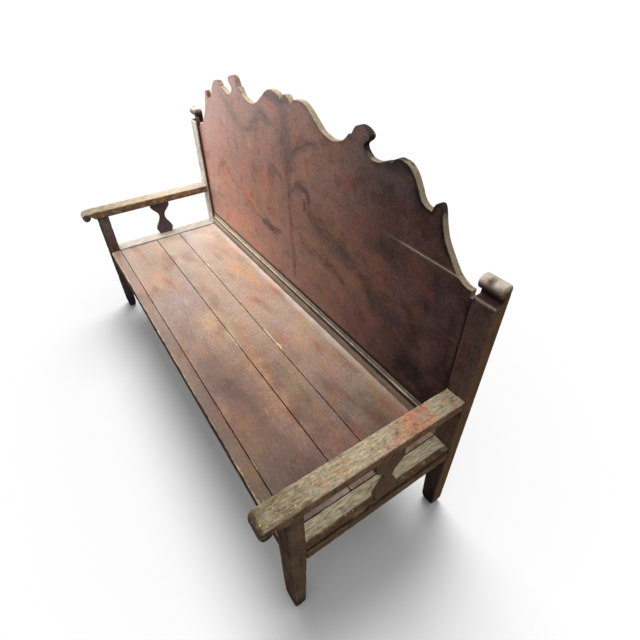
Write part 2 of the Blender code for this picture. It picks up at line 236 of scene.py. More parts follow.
def smooth_run(points: np.ndarray, samples: int = 10) -> np.ndarray:
    """Draw a smooth line through points.

    Each span is the cubic whose slope at a point is half the step between the point's neighbours.

    Args:
        points: the points, two columns.
        samples: places on each span.

    Returns:
        Places along the line, with both ends.
    """
    padded = np.vstack([2 * points[0] - points[1], points, 2 * points[-1] - points[-2]])
    a, b, c, d = padded[:-3], padded[1:-2], padded[2:-1], padded[3:]
    t = np.linspace(0.0, 1.0, samples, endpoint=False)[:, None, None]
    line = 0.5 * (2 * b + (c - a) * t + (2 * a - 5 * b + 4 * c - d) * t**2 + (3 * b - a - 3 * c + d) * t**3)
    return np.vstack([line.transpose(1, 0, 2).reshape(-1, 2), points[-1:]])


def drawn(points: list[tuple[float, float, bool]]) -> np.ndarray:
    """Draw a line with corners: smooth runs that meet at each point marked as a corner.

    Args:
        points: across, up and whether it is a corner. The first and last always are.

    Returns:
        Places along the line.
    """
    places = np.array([(across, up) for across, up, _ in points])
    marks = [i for i, point in enumerate(points) if point[2] or i in (0, len(points) - 1)]
    runs = [smooth_run(places[a:b + 1])[:-1] for a, b in zip(marks[:-1], marks[1:])]
    return np.vstack([*runs, places[-1:]])


def arc(
    centre: tuple[float, float], radius: float, start: float, stop: float
) -> list[tuple[float, float, bool]]:
    """Points on a circle.

    Args:
        centre: middle of the circle.
        radius: its radius.
        start: first angle in degrees.
        stop: last angle in degrees.

    Returns:
        Points for drawn(), eight spans long.
    """
    turn = np.radians(np.linspace(start, stop, 9))
    across = centre[0] + radius * np.cos(turn)
    up = centre[1] + radius * np.sin(turn)
    return list(zip(across.tolist(), up.tolist(), [CURVE] * len(turn)))


def closed_outline(line: np.ndarray, spacing: float) -> np.ndarray:
    """Walk a closed line anticlockwise in equal steps.

    The running length is the parameter, and both coordinates are read off at equal steps of it.

    Args:
        line: places round the outline.
        spacing: length of a step.

    Returns:
        Places at equal steps.
    """
    ahead = np.roll(line, -1, axis=0)
    area = np.sum(line[:, 0] * ahead[:, 1] - ahead[:, 0] * line[:, 1])
    ring = line if area > 0 else line[::-1]
    ring = np.vstack([ring, ring[:1]])
    length = np.concatenate([[0.0], np.cumsum(np.hypot(*np.diff(ring, axis=0).T))])
    count = max(12, int(round(length[-1] / spacing)))
    at = np.arange(count) * length[-1] / count
    return np.column_stack([np.interp(at, length, ring[:, k]) for k in (0, 1)])


def rectangle(low: tuple[float, float], high: tuple[float, float], spacing: float) -> np.ndarray:
    """Outline of a rectangle between two corners, in equal steps."""
    line = np.array([low, (high[0], low[1]), high, (low[0], high[1])])
    return closed_outline(line, spacing)


def nearest(points: np.ndarray, line: np.ndarray) -> tuple[np.ndarray, np.ndarray]:
    """Distance from each point to the closest place of a line, and which place that is.

    Args:
        points: two columns.
        line: closely spaced places, two columns.

    Returns:
        Distances and place numbers.
    """
    parts = []
    for block in np.array_split(points, max(1, len(points) * len(line) // BLOCK)):
        gap = np.hypot(block[:, None, 0] - line[None, :, 0], block[:, None, 1] - line[None, :, 1])
        best = np.argmin(gap, axis=1)
        parts.append((gap[np.arange(len(block)), best], best))
    return np.concatenate([p[0] for p in parts]), np.concatenate([p[1] for p in parts])


def inside(points: np.ndarray, ring: np.ndarray) -> np.ndarray:
    """Whether each point lies in a closed outline.

    It does if a ray from it crosses an odd number of the outline's sides.

    Args:
        points: two columns.
        ring: places round the outline.

    Returns:
        True or false for each point.
    """
    ahead = np.roll(ring, -1, axis=0)
    rise = np.where(ahead[:, 1] == ring[:, 1], 1e-12, ahead[:, 1] - ring[:, 1])
    found = []
    for block in np.array_split(points, max(1, len(points) * len(ring) // BLOCK)):
        level = block[:, None, 1]
        spans = (ring[None, :, 1] > level) != (ahead[None, :, 1] > level)
        cross = ring[None, :, 0] + (level - ring[None, :, 1]) * (ahead - ring)[None, :, 0] / rise[None]
        found.append(np.sum(spans & (cross > block[:, None, 0]), axis=1) % 2 == 1)
    return np.concatenate(found)


def lay_patches(across: np.ndarray, up: np.ndarray, patches: tuple[Patch, ...]) -> np.ndarray:
    """Sum of bells: each strength times e to minus the squared distance, counted in reaches.

    Args:
        across: first coordinate of each place.
        up: second coordinate of each place.
        patches: the patches.

    Returns:
        The sum at each place.
    """
    total = np.zeros(len(across))
    for patch in patches:
        far = ((across - patch.at[0]) / patch.reach[0]) ** 2 + ((up - patch.at[1]) / patch.reach[1]) ** 2
        total += patch.strength * np.exp(-far)
    return total


def lay_casts(
    across: np.ndarray, up: np.ndarray, reds: tuple[Patch, ...], blues: tuple[Patch, ...]
) -> np.ndarray:
    """Change of colour at each place: its red zones and its blue zones, each times its cast.

    Args:
        across: first coordinate of each place.
        up: second coordinate of each place.
        reds: redder zones.
        blues: bluer zones.

    Returns:
        Change of red, green and blue at each place.
    """
    red = lay_patches(across, up, reds)
    blue = lay_patches(across, up, blues)
    return np.outer(red, RED_CAST) + np.outer(blue, BLUE_CAST)


def lay_strokes(places: np.ndarray, strokes: tuple[Stroke, ...]) -> tuple[np.ndarray, np.ndarray]:
    """Darkness of brush strokes on a face.

    A stroke is a bell across its path, and its width swells from its ends to the middle of its run.

    Args:
        places: points of the face, two columns.
        strokes: the strokes.

    Returns:
        The strongest stroke's value at each point, and the point's place in that stroke: the
        length along it, the distance across it and a number of its own.
    """
    darkest = np.zeros(len(places))
    sweep = np.zeros((len(places), 3))
    for number, stroke in enumerate(strokes):
        line = smooth_run(np.array(stroke.path), 14)
        far, place = nearest(places, line)
        swell = 0.45 + 0.55 * np.sin(math.pi * place / (len(line) - 1))
        value = stroke.strength * np.exp(-((far / (stroke.width * swell)) ** 2))
        ahead = np.gradient(line, axis=0)
        ahead = (ahead / np.hypot(ahead[:, 0], ahead[:, 1])[:, None])[place]
        off = places - line[place]
        length = np.concatenate([[0.0], np.cumsum(np.hypot(*np.diff(line, axis=0).T))])[place]
        along = length + ahead[:, 0] * off[:, 0] + ahead[:, 1] * off[:, 1]
        across = ahead[:, 0] * off[:, 1] - ahead[:, 1] * off[:, 0]
        better = value > darkest
        sweep[better] = np.column_stack([along, across, np.full(len(far), float(number))])[better]
        darkest = np.maximum(darkest, value)
    return darkest, sweep


@dataclass(frozen=True)
class Slab:
    """A board: a drawn outline given thickness, with worn round arrises and gridded faces.

    The edge is a profile carried round the outline: a quarter round, a flat band and a quarter
    round, each ring of it the outline moved inwards by the profile's inset.
    A square grid can't follow a scrolled outline, so each face is filled with Delaunay triangles
    between its edge, rows along the edge and a square grid inside.

    Attributes:
        outline: places round the board, anticlockwise.
        thickness: from face to face.
        radius: roundness of the arrises.
        grid: spacing of points on the front face.
        rear_grid: spacing of points on the rear face.
        band: spacing of points across the edge.
        crisp: largest share of the radius at each point of the outline, none for all of it.
    """

    outline: np.ndarray
    thickness: float
    radius: float = 0.0016
    grid: float = 0.01
    rear_grid: float = 0.03
    band: float = 0.006
    crisp: np.ndarray | None = None

    def rings(self) -> tuple[np.ndarray, np.ndarray]:
        """Work out the edge's profile.

        Returns:
            Inset and height of each ring, from the front face to the rear one.
        """
        turn = np.linspace(0.0, math.pi / 2, 4)
        inset = self.radius * (1 - np.sin(turn))
        height = self.thickness / 2 - self.radius * (1 - np.cos(turn))
        steps = max(2, int(round(2 * height[-1] / self.band)) + 1)
        flat = np.linspace(height[-1], -height[-1], steps)[1:-1]
        return (
            np.concatenate([inset, np.zeros(len(flat)), inset[::-1]]),
            np.concatenate([height, flat, -height[::-1]]),
        )

    def filling(self, ring: np.ndarray, inward: np.ndarray, grid: float) -> tuple[np.ndarray, np.ndarray]:
        """Points inside a face, and their distance from its edge.

        Args:
            ring: edge of the face.
            inward: direction into the face at each point of the edge.
            grid: spacing of the square grid.

        Returns:
            Points and distances.
        """
        low, high = ring.min(axis=0), ring.max(axis=0)
        spans = [np.arange(low[k] + grid / 2, high[k], grid) for k in (0, 1)]
        square = np.stack(np.meshgrid(*spans, indexing="ij"), axis=-1).reshape(-1, 2)
        groups = [(square, max(1.5 * EDGE_ROWS[-1], 0.6 * grid))]
        groups += [(ring + inward * row, 0.9 * row) for row in EDGE_ROWS]
        kept = []
        for places, least in groups:
            far, _ = nearest(places, ring)
            good = (far >= least) & inside(places, ring)
            kept.append((places[good], far[good]))
        return np.vstack([k[0] for k in kept]), np.concatenate([k[1] for k in kept])

    def drawn_in(self, inward: np.ndarray) -> np.ndarray:
        """Share of the inset that each point of the outline can take.

        A point moved in by the radius must stay that far from the whole outline. Where it comes
        nearer, as in a sharp corner, its share shrinks in proportion.

        Args:
            inward: direction into the board at each point.

        Returns:
            A share from 0.03 to 1 for each point.
        """
        edge = self.outline
        part = np.linspace(0.0, 1.0, 5, endpoint=False)[None, :, None]
        fine = (edge[:, None] * (1 - part) + np.roll(edge, -1, axis=0)[:, None] * part).reshape(-1, 2)
        share = np.ones(len(edge)) if self.crisp is None else self.crisp.copy()
        for _ in range(4):
            far, _ = nearest(edge + inward * (self.radius * share)[:, None], fine)
            share = np.clip(np.minimum(share, far / self.radius), 0.03, 1.0)
        return share

    def shell(self) -> Shell:
        """Work out the board's surface.

        Returns:
            The surface, about the middle of its thickness.
        """
        edge = self.outline
        count = len(edge)
        ahead = np.roll(edge, -1, axis=0) - np.roll(edge, 1, axis=0)
        inward = np.column_stack([-ahead[:, 1], ahead[:, 0]]) / np.hypot(ahead[:, 0], ahead[:, 1])[:, None]
        inset, height = self.rings()
        rows = len(inset)
        flat = edge[None] + inset[:, None, None] * (inward * self.drawn_in(inward)[:, None])[None]
        level = np.broadcast_to(height[:, None, None], (rows, count, 1))
        points = [np.concatenate([flat, level], axis=2).reshape(-1, 3)]
        number = np.arange(rows * count).reshape(rows, count)
        after = np.roll(number, -1, axis=1)
        quads = np.stack([number[:-1], number[1:], after[1:], after[:-1]], axis=-1).reshape(-1, 4)
        faces = quads.tolist()
        insets = [np.repeat(inset, count)]
        facing = [np.repeat(np.clip(height / (self.thickness / 2), -1, 1) ** 9, count)]
        start = rows * count
        for row, grid, sign in ((0, self.grid, 1), (rows - 1, self.rear_grid, -1)):
            inner, far = self.filling(flat[row], inward, grid)
            places = np.vstack([flat[row], inner])
            made = delaunay_2d_cdt(places.tolist(), [], [list(range(count))], 1, 1e-7)
            if len(made[0]) != len(places):
                raise ValueError("an edge of a board crosses itself")
            lookup = np.concatenate([number[row], start + np.arange(len(inner))])
            triangles = lookup[np.array(made[2])]
            faces += triangles[:, ::sign].tolist()
            points.append(np.column_stack([inner, np.full(len(inner), height[row])]))
            insets.append(far)
            facing.append(np.full(len(inner), float(sign)))
            start += len(inner)
        return Shell(np.vstack(points), faces, np.concatenate(insets), np.concatenate(facing))

    def placed(self, lie: Lie, origin: tuple[float, float, float]) -> Shell:
        """The surface set in its place.

        Args:
            lie: how the slab lies.
            origin: where the drawn axes' zero and the middle of the thickness go.

        Returns:
            The surface in the bench's frame.
        """
        made = self.shell()
        made.points = made.points @ np.array(lie.value) + np.array(origin)
        return made


# What the node-adding function is told for a mix of two colours, for one colour times another,
# for a product with a third value added, and for a range with soft ends
MIXED = {"out": 2, "data_type": "RGBA"}
TIMES = {**MIXED, "blend_type": "MULTIPLY"}
SUMMED = {"operation": "MULTIPLY_ADD"}
SOFT = {"interpolation_type": "SMOOTHSTEP"}


def add(
    tree: NodeTree, kind: str, inputs: dict | None = None, out: int | str = 0, **settings: object
) -> NodeSocket | None:
    """Add a node with its settings, values and links.

    Args:
        tree: the material's nodes.
        kind: Blender's name for the node, after the word ShaderNode.
        inputs: from an input's name or number to a value, or to the output that feeds it.
        out: name or number of the output to hand back.
        settings: the node's own properties.

    Returns:
        That output, or None if the node has no outputs.
    """
    node = tree.nodes.new(f"ShaderNode{kind}")
    for name, value in settings.items():
        setattr(node, name, value)
    for key, value in (inputs or {}).items():
        if isinstance(value, NodeSocket):
            tree.links.new(value, node.inputs[key])
        else:
            node.inputs[key].default_value = value
    return node.outputs[out] if node.outputs else None


@dataclass(frozen=True)
class Tint:
    """A second colour that comes and goes in clouds.

    Attributes:
        colour: a stain's own colour, or what a glaze makes of mid-grey.
        size_mm: size of a cloud across the grain.
        level: noise level at which it starts to show; one half covers half the surface.
        strength: its largest share.
    """

    colour: str
    size_mm: float
    level: float
    strength: float


@dataclass(frozen=True)
class WornPaint:
    """Old oil paint brushed on softwood, rubbed through to the wood by use.

    The paint gives a satin skin with cloudy colour and brush streaks along the grain, and where
    it has gone the wood is paler, drier and rougher.
    Each point of a piece carries how much wood shows (bare), how light the paint is, painted
    light and shade included (tone), how ochre it is (warm), the dark graining strokes (stroke),
    its place in its stroke (sweep), its redder or bluer cast (cast) and the dust on it, which on
    some pieces also paints sheen and highlights (dust_and_sheen). A piece without one of these
    has nought of it all over.

    Attributes:
        name: the material's name.
        dark: darkest paint.
        light: lightest paint.
        ochre: warm glaze that shows in patches.
        brush: graining colour.
        wood_dark: dark fibres of the bare wood.
        wood_light: pale fibres of the bare wood.
        chip: colour of small chips and specks.
        dust_sheen_colour: colour of dust, and of the painted sheen and highlights.
        grain: direction of the fibres.
        roughness: of sound paint.
        fibre_mm: width and length of a streak.
        cloud_mm: size of the colour clouds.
        flake_mm: size of the flakes at the edge of the paint.
        speck_level: noise level above which a speck shows; one means no specks.
        scratch_level: noise level above which a scratch shows; one means none.
        scratch_turn: axis that the scratched face looks along.
        streak: how much the streaks lighten and darken.
        clouding: how much the clouds lighten and darken.
        grit: how much the fine unevenness lightens and darkens.
        grit_run: how many times longer than wide its grains are, along the grain.
        specular: strength of the reflection.
        stretch: how many times longer than wide the tints and stains are, along the grain.
        tints: glazes that come and go in the paint.
        stains: clouds of other colours over paint and wood.
    """

    name: str
    dark: str
    light: str
    ochre: str
    brush: str = "#2a211f"
    wood_dark: str = "#7d6a50"
    wood_light: str = "#b8a684"
    chip: str = "#c9b898"
    dust_sheen_colour: str = "#b7aca0"
    grain: Grain = Grain.LONG
    roughness: float = 0.42
    fibre_mm: tuple[float, float] = (4.0, 160.0)
    cloud_mm: float = 70.0
    flake_mm: float = 14.0
    speck_level: float = 0.74
    scratch_level: float = 1.0
    scratch_turn: Grain = Grain.UP
    streak: float = 0.16
    clouding: float = 0.9
    grit: float = 0.22
    grit_run: float = 1.5
    specular: float = 0.4
    stretch: float = 3.0
    tints: tuple[Tint, ...] = ()
    stains: tuple[Tint, ...] = ()

    def stretched(self, width_mm: float, times: float) -> tuple[float, float, float]:
        """Work out a pattern's scale.

        Args:
            width_mm: its width.
            times: how many times longer it is along the grain.

        Returns:
            Scale along the three axes.
        """
        scale = [1000 / width_mm] * 3
        scale[self.grain.value] = 1000 / (width_mm * times)
        return (scale[0], scale[1], scale[2])

    def lay_tints(
        self, tree: NodeTree, place: NodeSocket, colour: NodeSocket, is_glaze: bool
    ) -> NodeSocket:
        """Lay clouds of other colours over a colour.

        Args:
            tree: the material's nodes.
            place: the place on the piece.
            colour: the colour below.
            is_glaze: whether to lay the glazes, which let the colour below through, or the stains.

        Returns:
            The colour with its tints.
        """
        middle = linear("#7f7f7f")[0]
        for tint in self.tints if is_glaze else self.stains:
            shift = 0.013 * sum(tint.colour.encode())
            shade = tuple(v / middle if is_glaze else v for v in linear(tint.colour))
            scale = self.stretched(tint.size_mm, self.stretch)
            top = tint.level + 0.24
            spot = add(
                tree,
                "Mapping",
                {"Vector": place, "Location": (shift, 2 * shift, 3 * shift), "Scale": scale},
            )
            cloud = add(tree, "TexNoise", {"Vector": spot, "Scale": 1.0, "Detail": 1.5, "Roughness": 0.45})
            share = add(
                tree,
                "MapRange",
                {"Value": cloud, "From Min": tint.level, "From Max": top, "To Max": tint.strength},
                **SOFT,
            )
            colour = add(tree, "Mix", {0: share, 6: colour, 7: shade}, **(TIMES if is_glaze else MIXED))
        return colour

    def lay_marks(self, tree: NodeTree, place: NodeSocket, colour: NodeSocket) -> NodeSocket:
        """Lay specks and scratches over a colour.

        Args:
            tree: the material's nodes.
            place: the place on the piece.
            colour: the colour below.

        Returns:
            The colour with its marks.
        """
        # Specks: chips of a few millimetres, drawn a little coarser than life so that they show
        for size, level, share, shade in ((7.0, 0.0, 0.75, self.chip), (6.0, -0.02, 0.55, self.brush)):
            if self.speck_level < 1:
                speck = add(
                    tree,
                    "TexNoise",
                    {"Vector": place, "Scale": 1000 / size, "Detail": 2.0, "Roughness": 0.5},
                )
                low = self.speck_level + level
                chipped = add(
                    tree,
                    "MapRange",
                    {"Value": speck, "From Min": low, "From Max": low + 0.04, "To Max": share},
                )
                colour = add(tree, "Mix", {0: chipped, 6: colour, 7: linear(shade)}, **MIXED)
        # Scratches: long thin lines at three slants, 2 mm wide where life has 1, so that they show
        if self.scratch_level < 1:
            low = self.scratch_level
            thin = [13.0, 13.0, 13.0]
            thin[2 if self.scratch_turn is Grain.DEEP else 1] = 400.0
            for slant in (0.7, 0.1, -0.5):
                turn = [0.0, 0.0, 0.0]
                turn[self.scratch_turn.value] = slant
                run = add(tree, "Mapping", {"Vector": place, "Rotation": turn, "Scale": thin})
                line = add(tree, "TexNoise", {"Vector": run, "Scale": 1.0, "Detail": 1.0, "Roughness": 0.4})
                scored = add(
                    tree,
                    "MapRange",
                    {"Value": line, "From Min": low, "From Max": low + 0.06, "To Max": 0.45},
                )
                colour = add(tree, "Mix", {0: scored, 6: colour, 7: linear(self.chip)}, **MIXED)
        return colour

    def material(self) -> Material:
        """The finish's material, made the first time that a piece asks for it."""
        return bpy.data.materials.get(self.name) or self.make_material()

    def make_material(self) -> Material:
        """Build the material's nodes.

        Returns:
            The material.
        """
        made = bpy.data.materials.new(self.name)
        made.use_nodes = True
        tree = made.node_tree
        tree.nodes.clear()
        place = add(tree, "TexCoord", out="Object")
        length = self.fibre_mm[1] / self.fibre_mm[0]
        along = add(tree, "Mapping", {"Vector": place, "Scale": self.stretched(self.fibre_mm[0], length)})
        fibre = add(tree, "TexNoise", {"Vector": along, "Scale": 1.0, "Detail": 4.0, "Roughness": 0.6})
        cloud = add(
            tree,
            "TexNoise",
            {"Vector": place, "Scale": 1000 / self.cloud_mm, "Detail": 6.0, "Roughness": 0.66},
        )
        flake = add(
            tree,
            "TexNoise",
            {"Vector": place, "Scale": 1000 / self.flake_mm, "Detail": 4.0, "Roughness": 0.7},
        )
        carried = {
            word: add(tree, "Attribute", out="Fac", attribute_name=word)
            for word in ("bare", "tone", "warm", "stroke", "dust_and_sheen")
        }
        # Paint: clouds between its dark and light colours, tints, and an ochre glaze in patches
        clouded = add(tree, "Math", {0: cloud, 1: self.clouding, 2: carried["tone"]}, **SUMMED)
        middle = 0.5 * self.clouding
        shade = add(
            tree, "MapRange", {"Value": clouded, "From Min": middle - 0.5, "From Max": middle + 0.5}
        )
        paint = add(tree, "Mix", {0: shade, 6: linear(self.dark), 7: linear(self.light)}, **MIXED)
        paint = self.lay_tints(tree, place, paint, True)
        warmth = add(tree, "Math", {0: cloud, 1: 0.8, 2: carried["warm"]}, **SUMMED)
        glazed = add(tree, "MapRange", {"Value": warmth, "From Min": 0.52, "From Max": 1.35}, **SOFT)
        paint = add(tree, "Mix", {0: glazed, 6: paint, 7: linear(self.ochre)}, **MIXED)
        # Cast: zones where the coat is redder or bluer, carried by the piece
        shift = add(tree, "Attribute", out="Vector", attribute_name="cast")
        cast = add(tree, "VectorMath", {0: shift, 1: (1.0, 1.0, 1.0)}, operation="ADD")
        paint = add(tree, "Mix", {0: 1.0, 6: paint, 7: cast}, **TIMES)
        # Graining: dark brush strokes, broken into flecks of about 8 by 50 mm along their own run
        sweep = add(tree, "Attribute", out="Vector", attribute_name="sweep")
        run = add(tree, "Mapping", {"Vector": sweep, "Scale": (20.0, 125.0, 7.0)})
        strand = add(tree, "TexNoise", {"Vector": run, "Scale": 1.0, "Detail": 4.0, "Roughness": 0.7})
        feathered = add(tree, "Math", {0: strand, 1: 2.2, 2: carried["stroke"]}, **SUMMED)
        brushed = add(tree, "Math", {0: flake, 1: 0.7, 2: feathered}, **SUMMED)
        stroked = add(
            tree, "MapRange", {"Value": brushed, "From Min": 1.58, "From Max": 2.45, "To Max": 0.62}, **SOFT
        )
        paint = add(tree, "Mix", {0: stroked, 6: paint, 7: linear(self.brush)}, **MIXED)
        # Bare wood: pale and dark fibres, paler where the paint is light too, edged by flakes of the paint
        toned = add(tree, "Math", {0: carried["tone"], 1: 0.4, 2: fibre}, **SUMMED)
        fibres = add(tree, "MapRange", {"Value": toned, "From Min": 0.3, "From Max": 0.7})
        wood = add(tree, "Mix", {0: fibres, 6: linear(self.wood_dark), 7: linear(self.wood_light)}, **MIXED)
        ragged = add(tree, "Math", {0: flake, 1: 0.9, 2: carried["bare"]}, **SUMMED)
        worn = add(tree, "MapRange", {"Value": ragged, "From Min": 0.88, "From Max": 1.06}, **SOFT)
        colour = add(tree, "Mix", {0: worn, 6: paint, 7: wood}, **MIXED)
        colour = self.lay_tints(tree, place, colour, False)
        # Streaks: lighter and darker lines along the grain
        # Grit: the paint's fine unevenness, grains of 5 mm and less across the grain
        fine = add(tree, "Mapping", {"Vector": place, "Scale": self.stretched(5.0, self.grit_run)})
        grit = add(tree, "TexNoise", {"Vector": fine, "Scale": 1.0, "Detail": 3.0, "Roughness": 0.75})
        for pattern, swing in ((fibre, self.streak), (grit, self.grit)):
            ends = {"From Min": 0.25, "From Max": 0.75, "To Min": 1 - swing, "To Max": 1 + swing}
            shift = add(tree, "MapRange", {"Value": pattern, **ends})
            colour = add(tree, "Mix", {0: 1.0, 6: colour, 7: shift}, **TIMES)
        colour = self.lay_marks(tree, place, colour)
        # Dust and painted sheen: a pale film that the clouds break up
        film = add(tree, "MapRange", {"Value": cloud, "From Min": 0.3, "From Max": 0.7, "To Min": 0.45})
        dust_and_sheen_share = add(tree, "Math", {0: film, 1: carried["dust_and_sheen"]}, operation="MULTIPLY", use_clamp=True)
        colour = add(tree, "Mix", {0: dust_and_sheen_share, 6: colour, 7: linear(self.dust_sheen_colour)}, **MIXED)
        # Sheen: satin paint, duller where it is cloudy and where the wood shows
        glossy, matt = self.roughness - 0.08, self.roughness + 0.1
        ends = {"From Min": 0.2, "From Max": 0.8, "To Min": glossy, "To Max": matt}
        dull = add(tree, "MapRange", {"Value": cloud, **ends})
        rough = add(tree, "Math", {0: worn, 1: 0.22, 2: dull}, use_clamp=True, **SUMMED)
        relief = add(tree, "Math", {0: worn, 1: -0.5, 2: fibre}, **SUMMED)
        rise = add(tree, "Math", {0: flake, 1: 0.35, 2: relief}, **SUMMED)
        bump = add(tree, "Bump", {"Strength": 0.45, "Distance": 0.0012, "Height": rise})
        shader = add(
            tree,
            "BsdfPrincipled",
            {
                "Base Color": colour,
                "Roughness": rough,
                "Normal": bump,
                "IOR": 1.47,
                "Specular IOR Level": self.specular,
            },
        )
        add(tree, "OutputMaterial", {"Surface": shader})
        return made


@dataclass(frozen=True)
class ForgedIron:
    """Hand-forged nail iron: dark oxide with rust, hammered so that its gloss is broken.

    Attributes:
        name: the material's name.
        scale_colour: the oxide's colour.
        rust: the rust's colour.
        roughness: of the whole head.
    """

    name: str = "forged_iron_oxide"
    scale_colour: str = "#241f1c"
    rust: str = "#4a3023"
    roughness: float = 0.6

    def material(self) -> Material:
        """Build the material's nodes.

        Returns:
            The material.
        """
        made = bpy.data.materials.new(self.name)
        made.use_nodes = True
        tree = made.node_tree
        tree.nodes.clear()
        place = add(tree, "TexCoord", out="Object")
        # Rust spots are about 2 mm across
        spots = add(tree, "TexNoise", {"Vector": place, "Scale": 500.0, "Detail": 3.0})
        share = add(tree, "MapRange", {"Value": spots, "From Min": 0.4, "From Max": 0.65})
        colour = add(tree, "Mix", {0: share, 6: linear(self.scale_colour), 7: linear(self.rust)}, **MIXED)
        bump = add(tree, "Bump", {"Strength": 0.5, "Distance": 0.0004, "Height": spots})
        shader = add(
            tree,
            "BsdfPrincipled",
            {"Base Color": colour, "Roughness": self.roughness, "Metallic": 0.7, "Normal": bump},
        )
        add(tree, "OutputMaterial", {"Surface": shader})
        return made


@dataclass(frozen=True)
class Piece:
    """What a piece is besides its surface.

    Attributes:
        name: its name in the scene.
        nodes: the solids that it stands for.
        slot: the record's material slot.
        depth: how deep its edges are knocked in.
        seed: picks its own dents.
    """

    name: str
    nodes: tuple[str, ...]
    slot: str
    depth: float = 0.0012
    seed: int = 1


def knock(mesh: Mesh, shell: Shell, piece: Piece) -> None:
    """Knock the edges in and let the faces wander, always into the wood.

    A point moves back along its normal by the depth times a noise of 22 mm cells where that is
    high, most on the arrises, and by a third of a millimetre of a slow noise everywhere.

    Args:
        mesh: the mesh to change.
        shell: its surface in numbers.
        piece: gives the depth and the seed.
    """
    normals = np.empty(len(mesh.vertices) * 3, np.float32)
    mesh.vertex_normals.foreach_get("vector", normals)
    normals = normals.reshape(-1, 3).astype(float)
    arris = shell.arris(0.004, 2.5)
    spots = smooth_step(value_noise(shell.points, 0.022, piece.seed), 0.62, 0.98)
    slow = value_noise(shell.points, 0.09, piece.seed + 7)
    back = piece.depth * spots * arris * 2.2 + 0.00035 * slow
    moved = shell.points - normals * back[:, None]
    mesh.vertices.foreach_set("co", moved.astype(np.float32).ravel())


def make_piece(piece: Piece, shell: Shell, traits: dict[str, np.ndarray], finish: WornPaint) -> None:
    """Make a mesh object, knock it about, paint it and hang it on the bench.

    Args:
        piece: its name, solids, slot and wear.
        shell: its surface.
        traits: what each point carries for the material.
        finish: what its surface is made of.
    """
    mesh = bpy.data.meshes.new(piece.name)
    mesh.from_pydata(shell.points.tolist(), [], shell.faces)
    mesh.update()
    knock(mesh, shell, piece)
    for word, values in traits.items():
        flat = np.ascontiguousarray(values, np.float32).ravel()
        if values.ndim == 2:
            mesh.attributes.new(word, "FLOAT_VECTOR", "POINT").data.foreach_set("vector", flat)
        else:
            mesh.attributes.new(word, "FLOAT", "POINT").data.foreach_set("value", flat)
    mesh.shade_smooth()
    mesh.set_sharp_from_angle(angle=math.radians(50))
    mesh.update()
    mesh.materials.append(finish.material())
    item = bpy.data.objects.new(piece.name, mesh)
    bpy.context.scene.collection.objects.link(item)
    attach(item, BODY)
    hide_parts(*piece.nodes)
    LOG.info("%s: %d points, stands for %s", piece.name, len(shell.points), ", ".join(piece.nodes))


def box_of(node: str) -> tuple[np.ndarray, np.ndarray]:
    """Lowest and highest corner of a solid, as arrays."""
    low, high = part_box(node)
    return np.array(low), np.array(high)


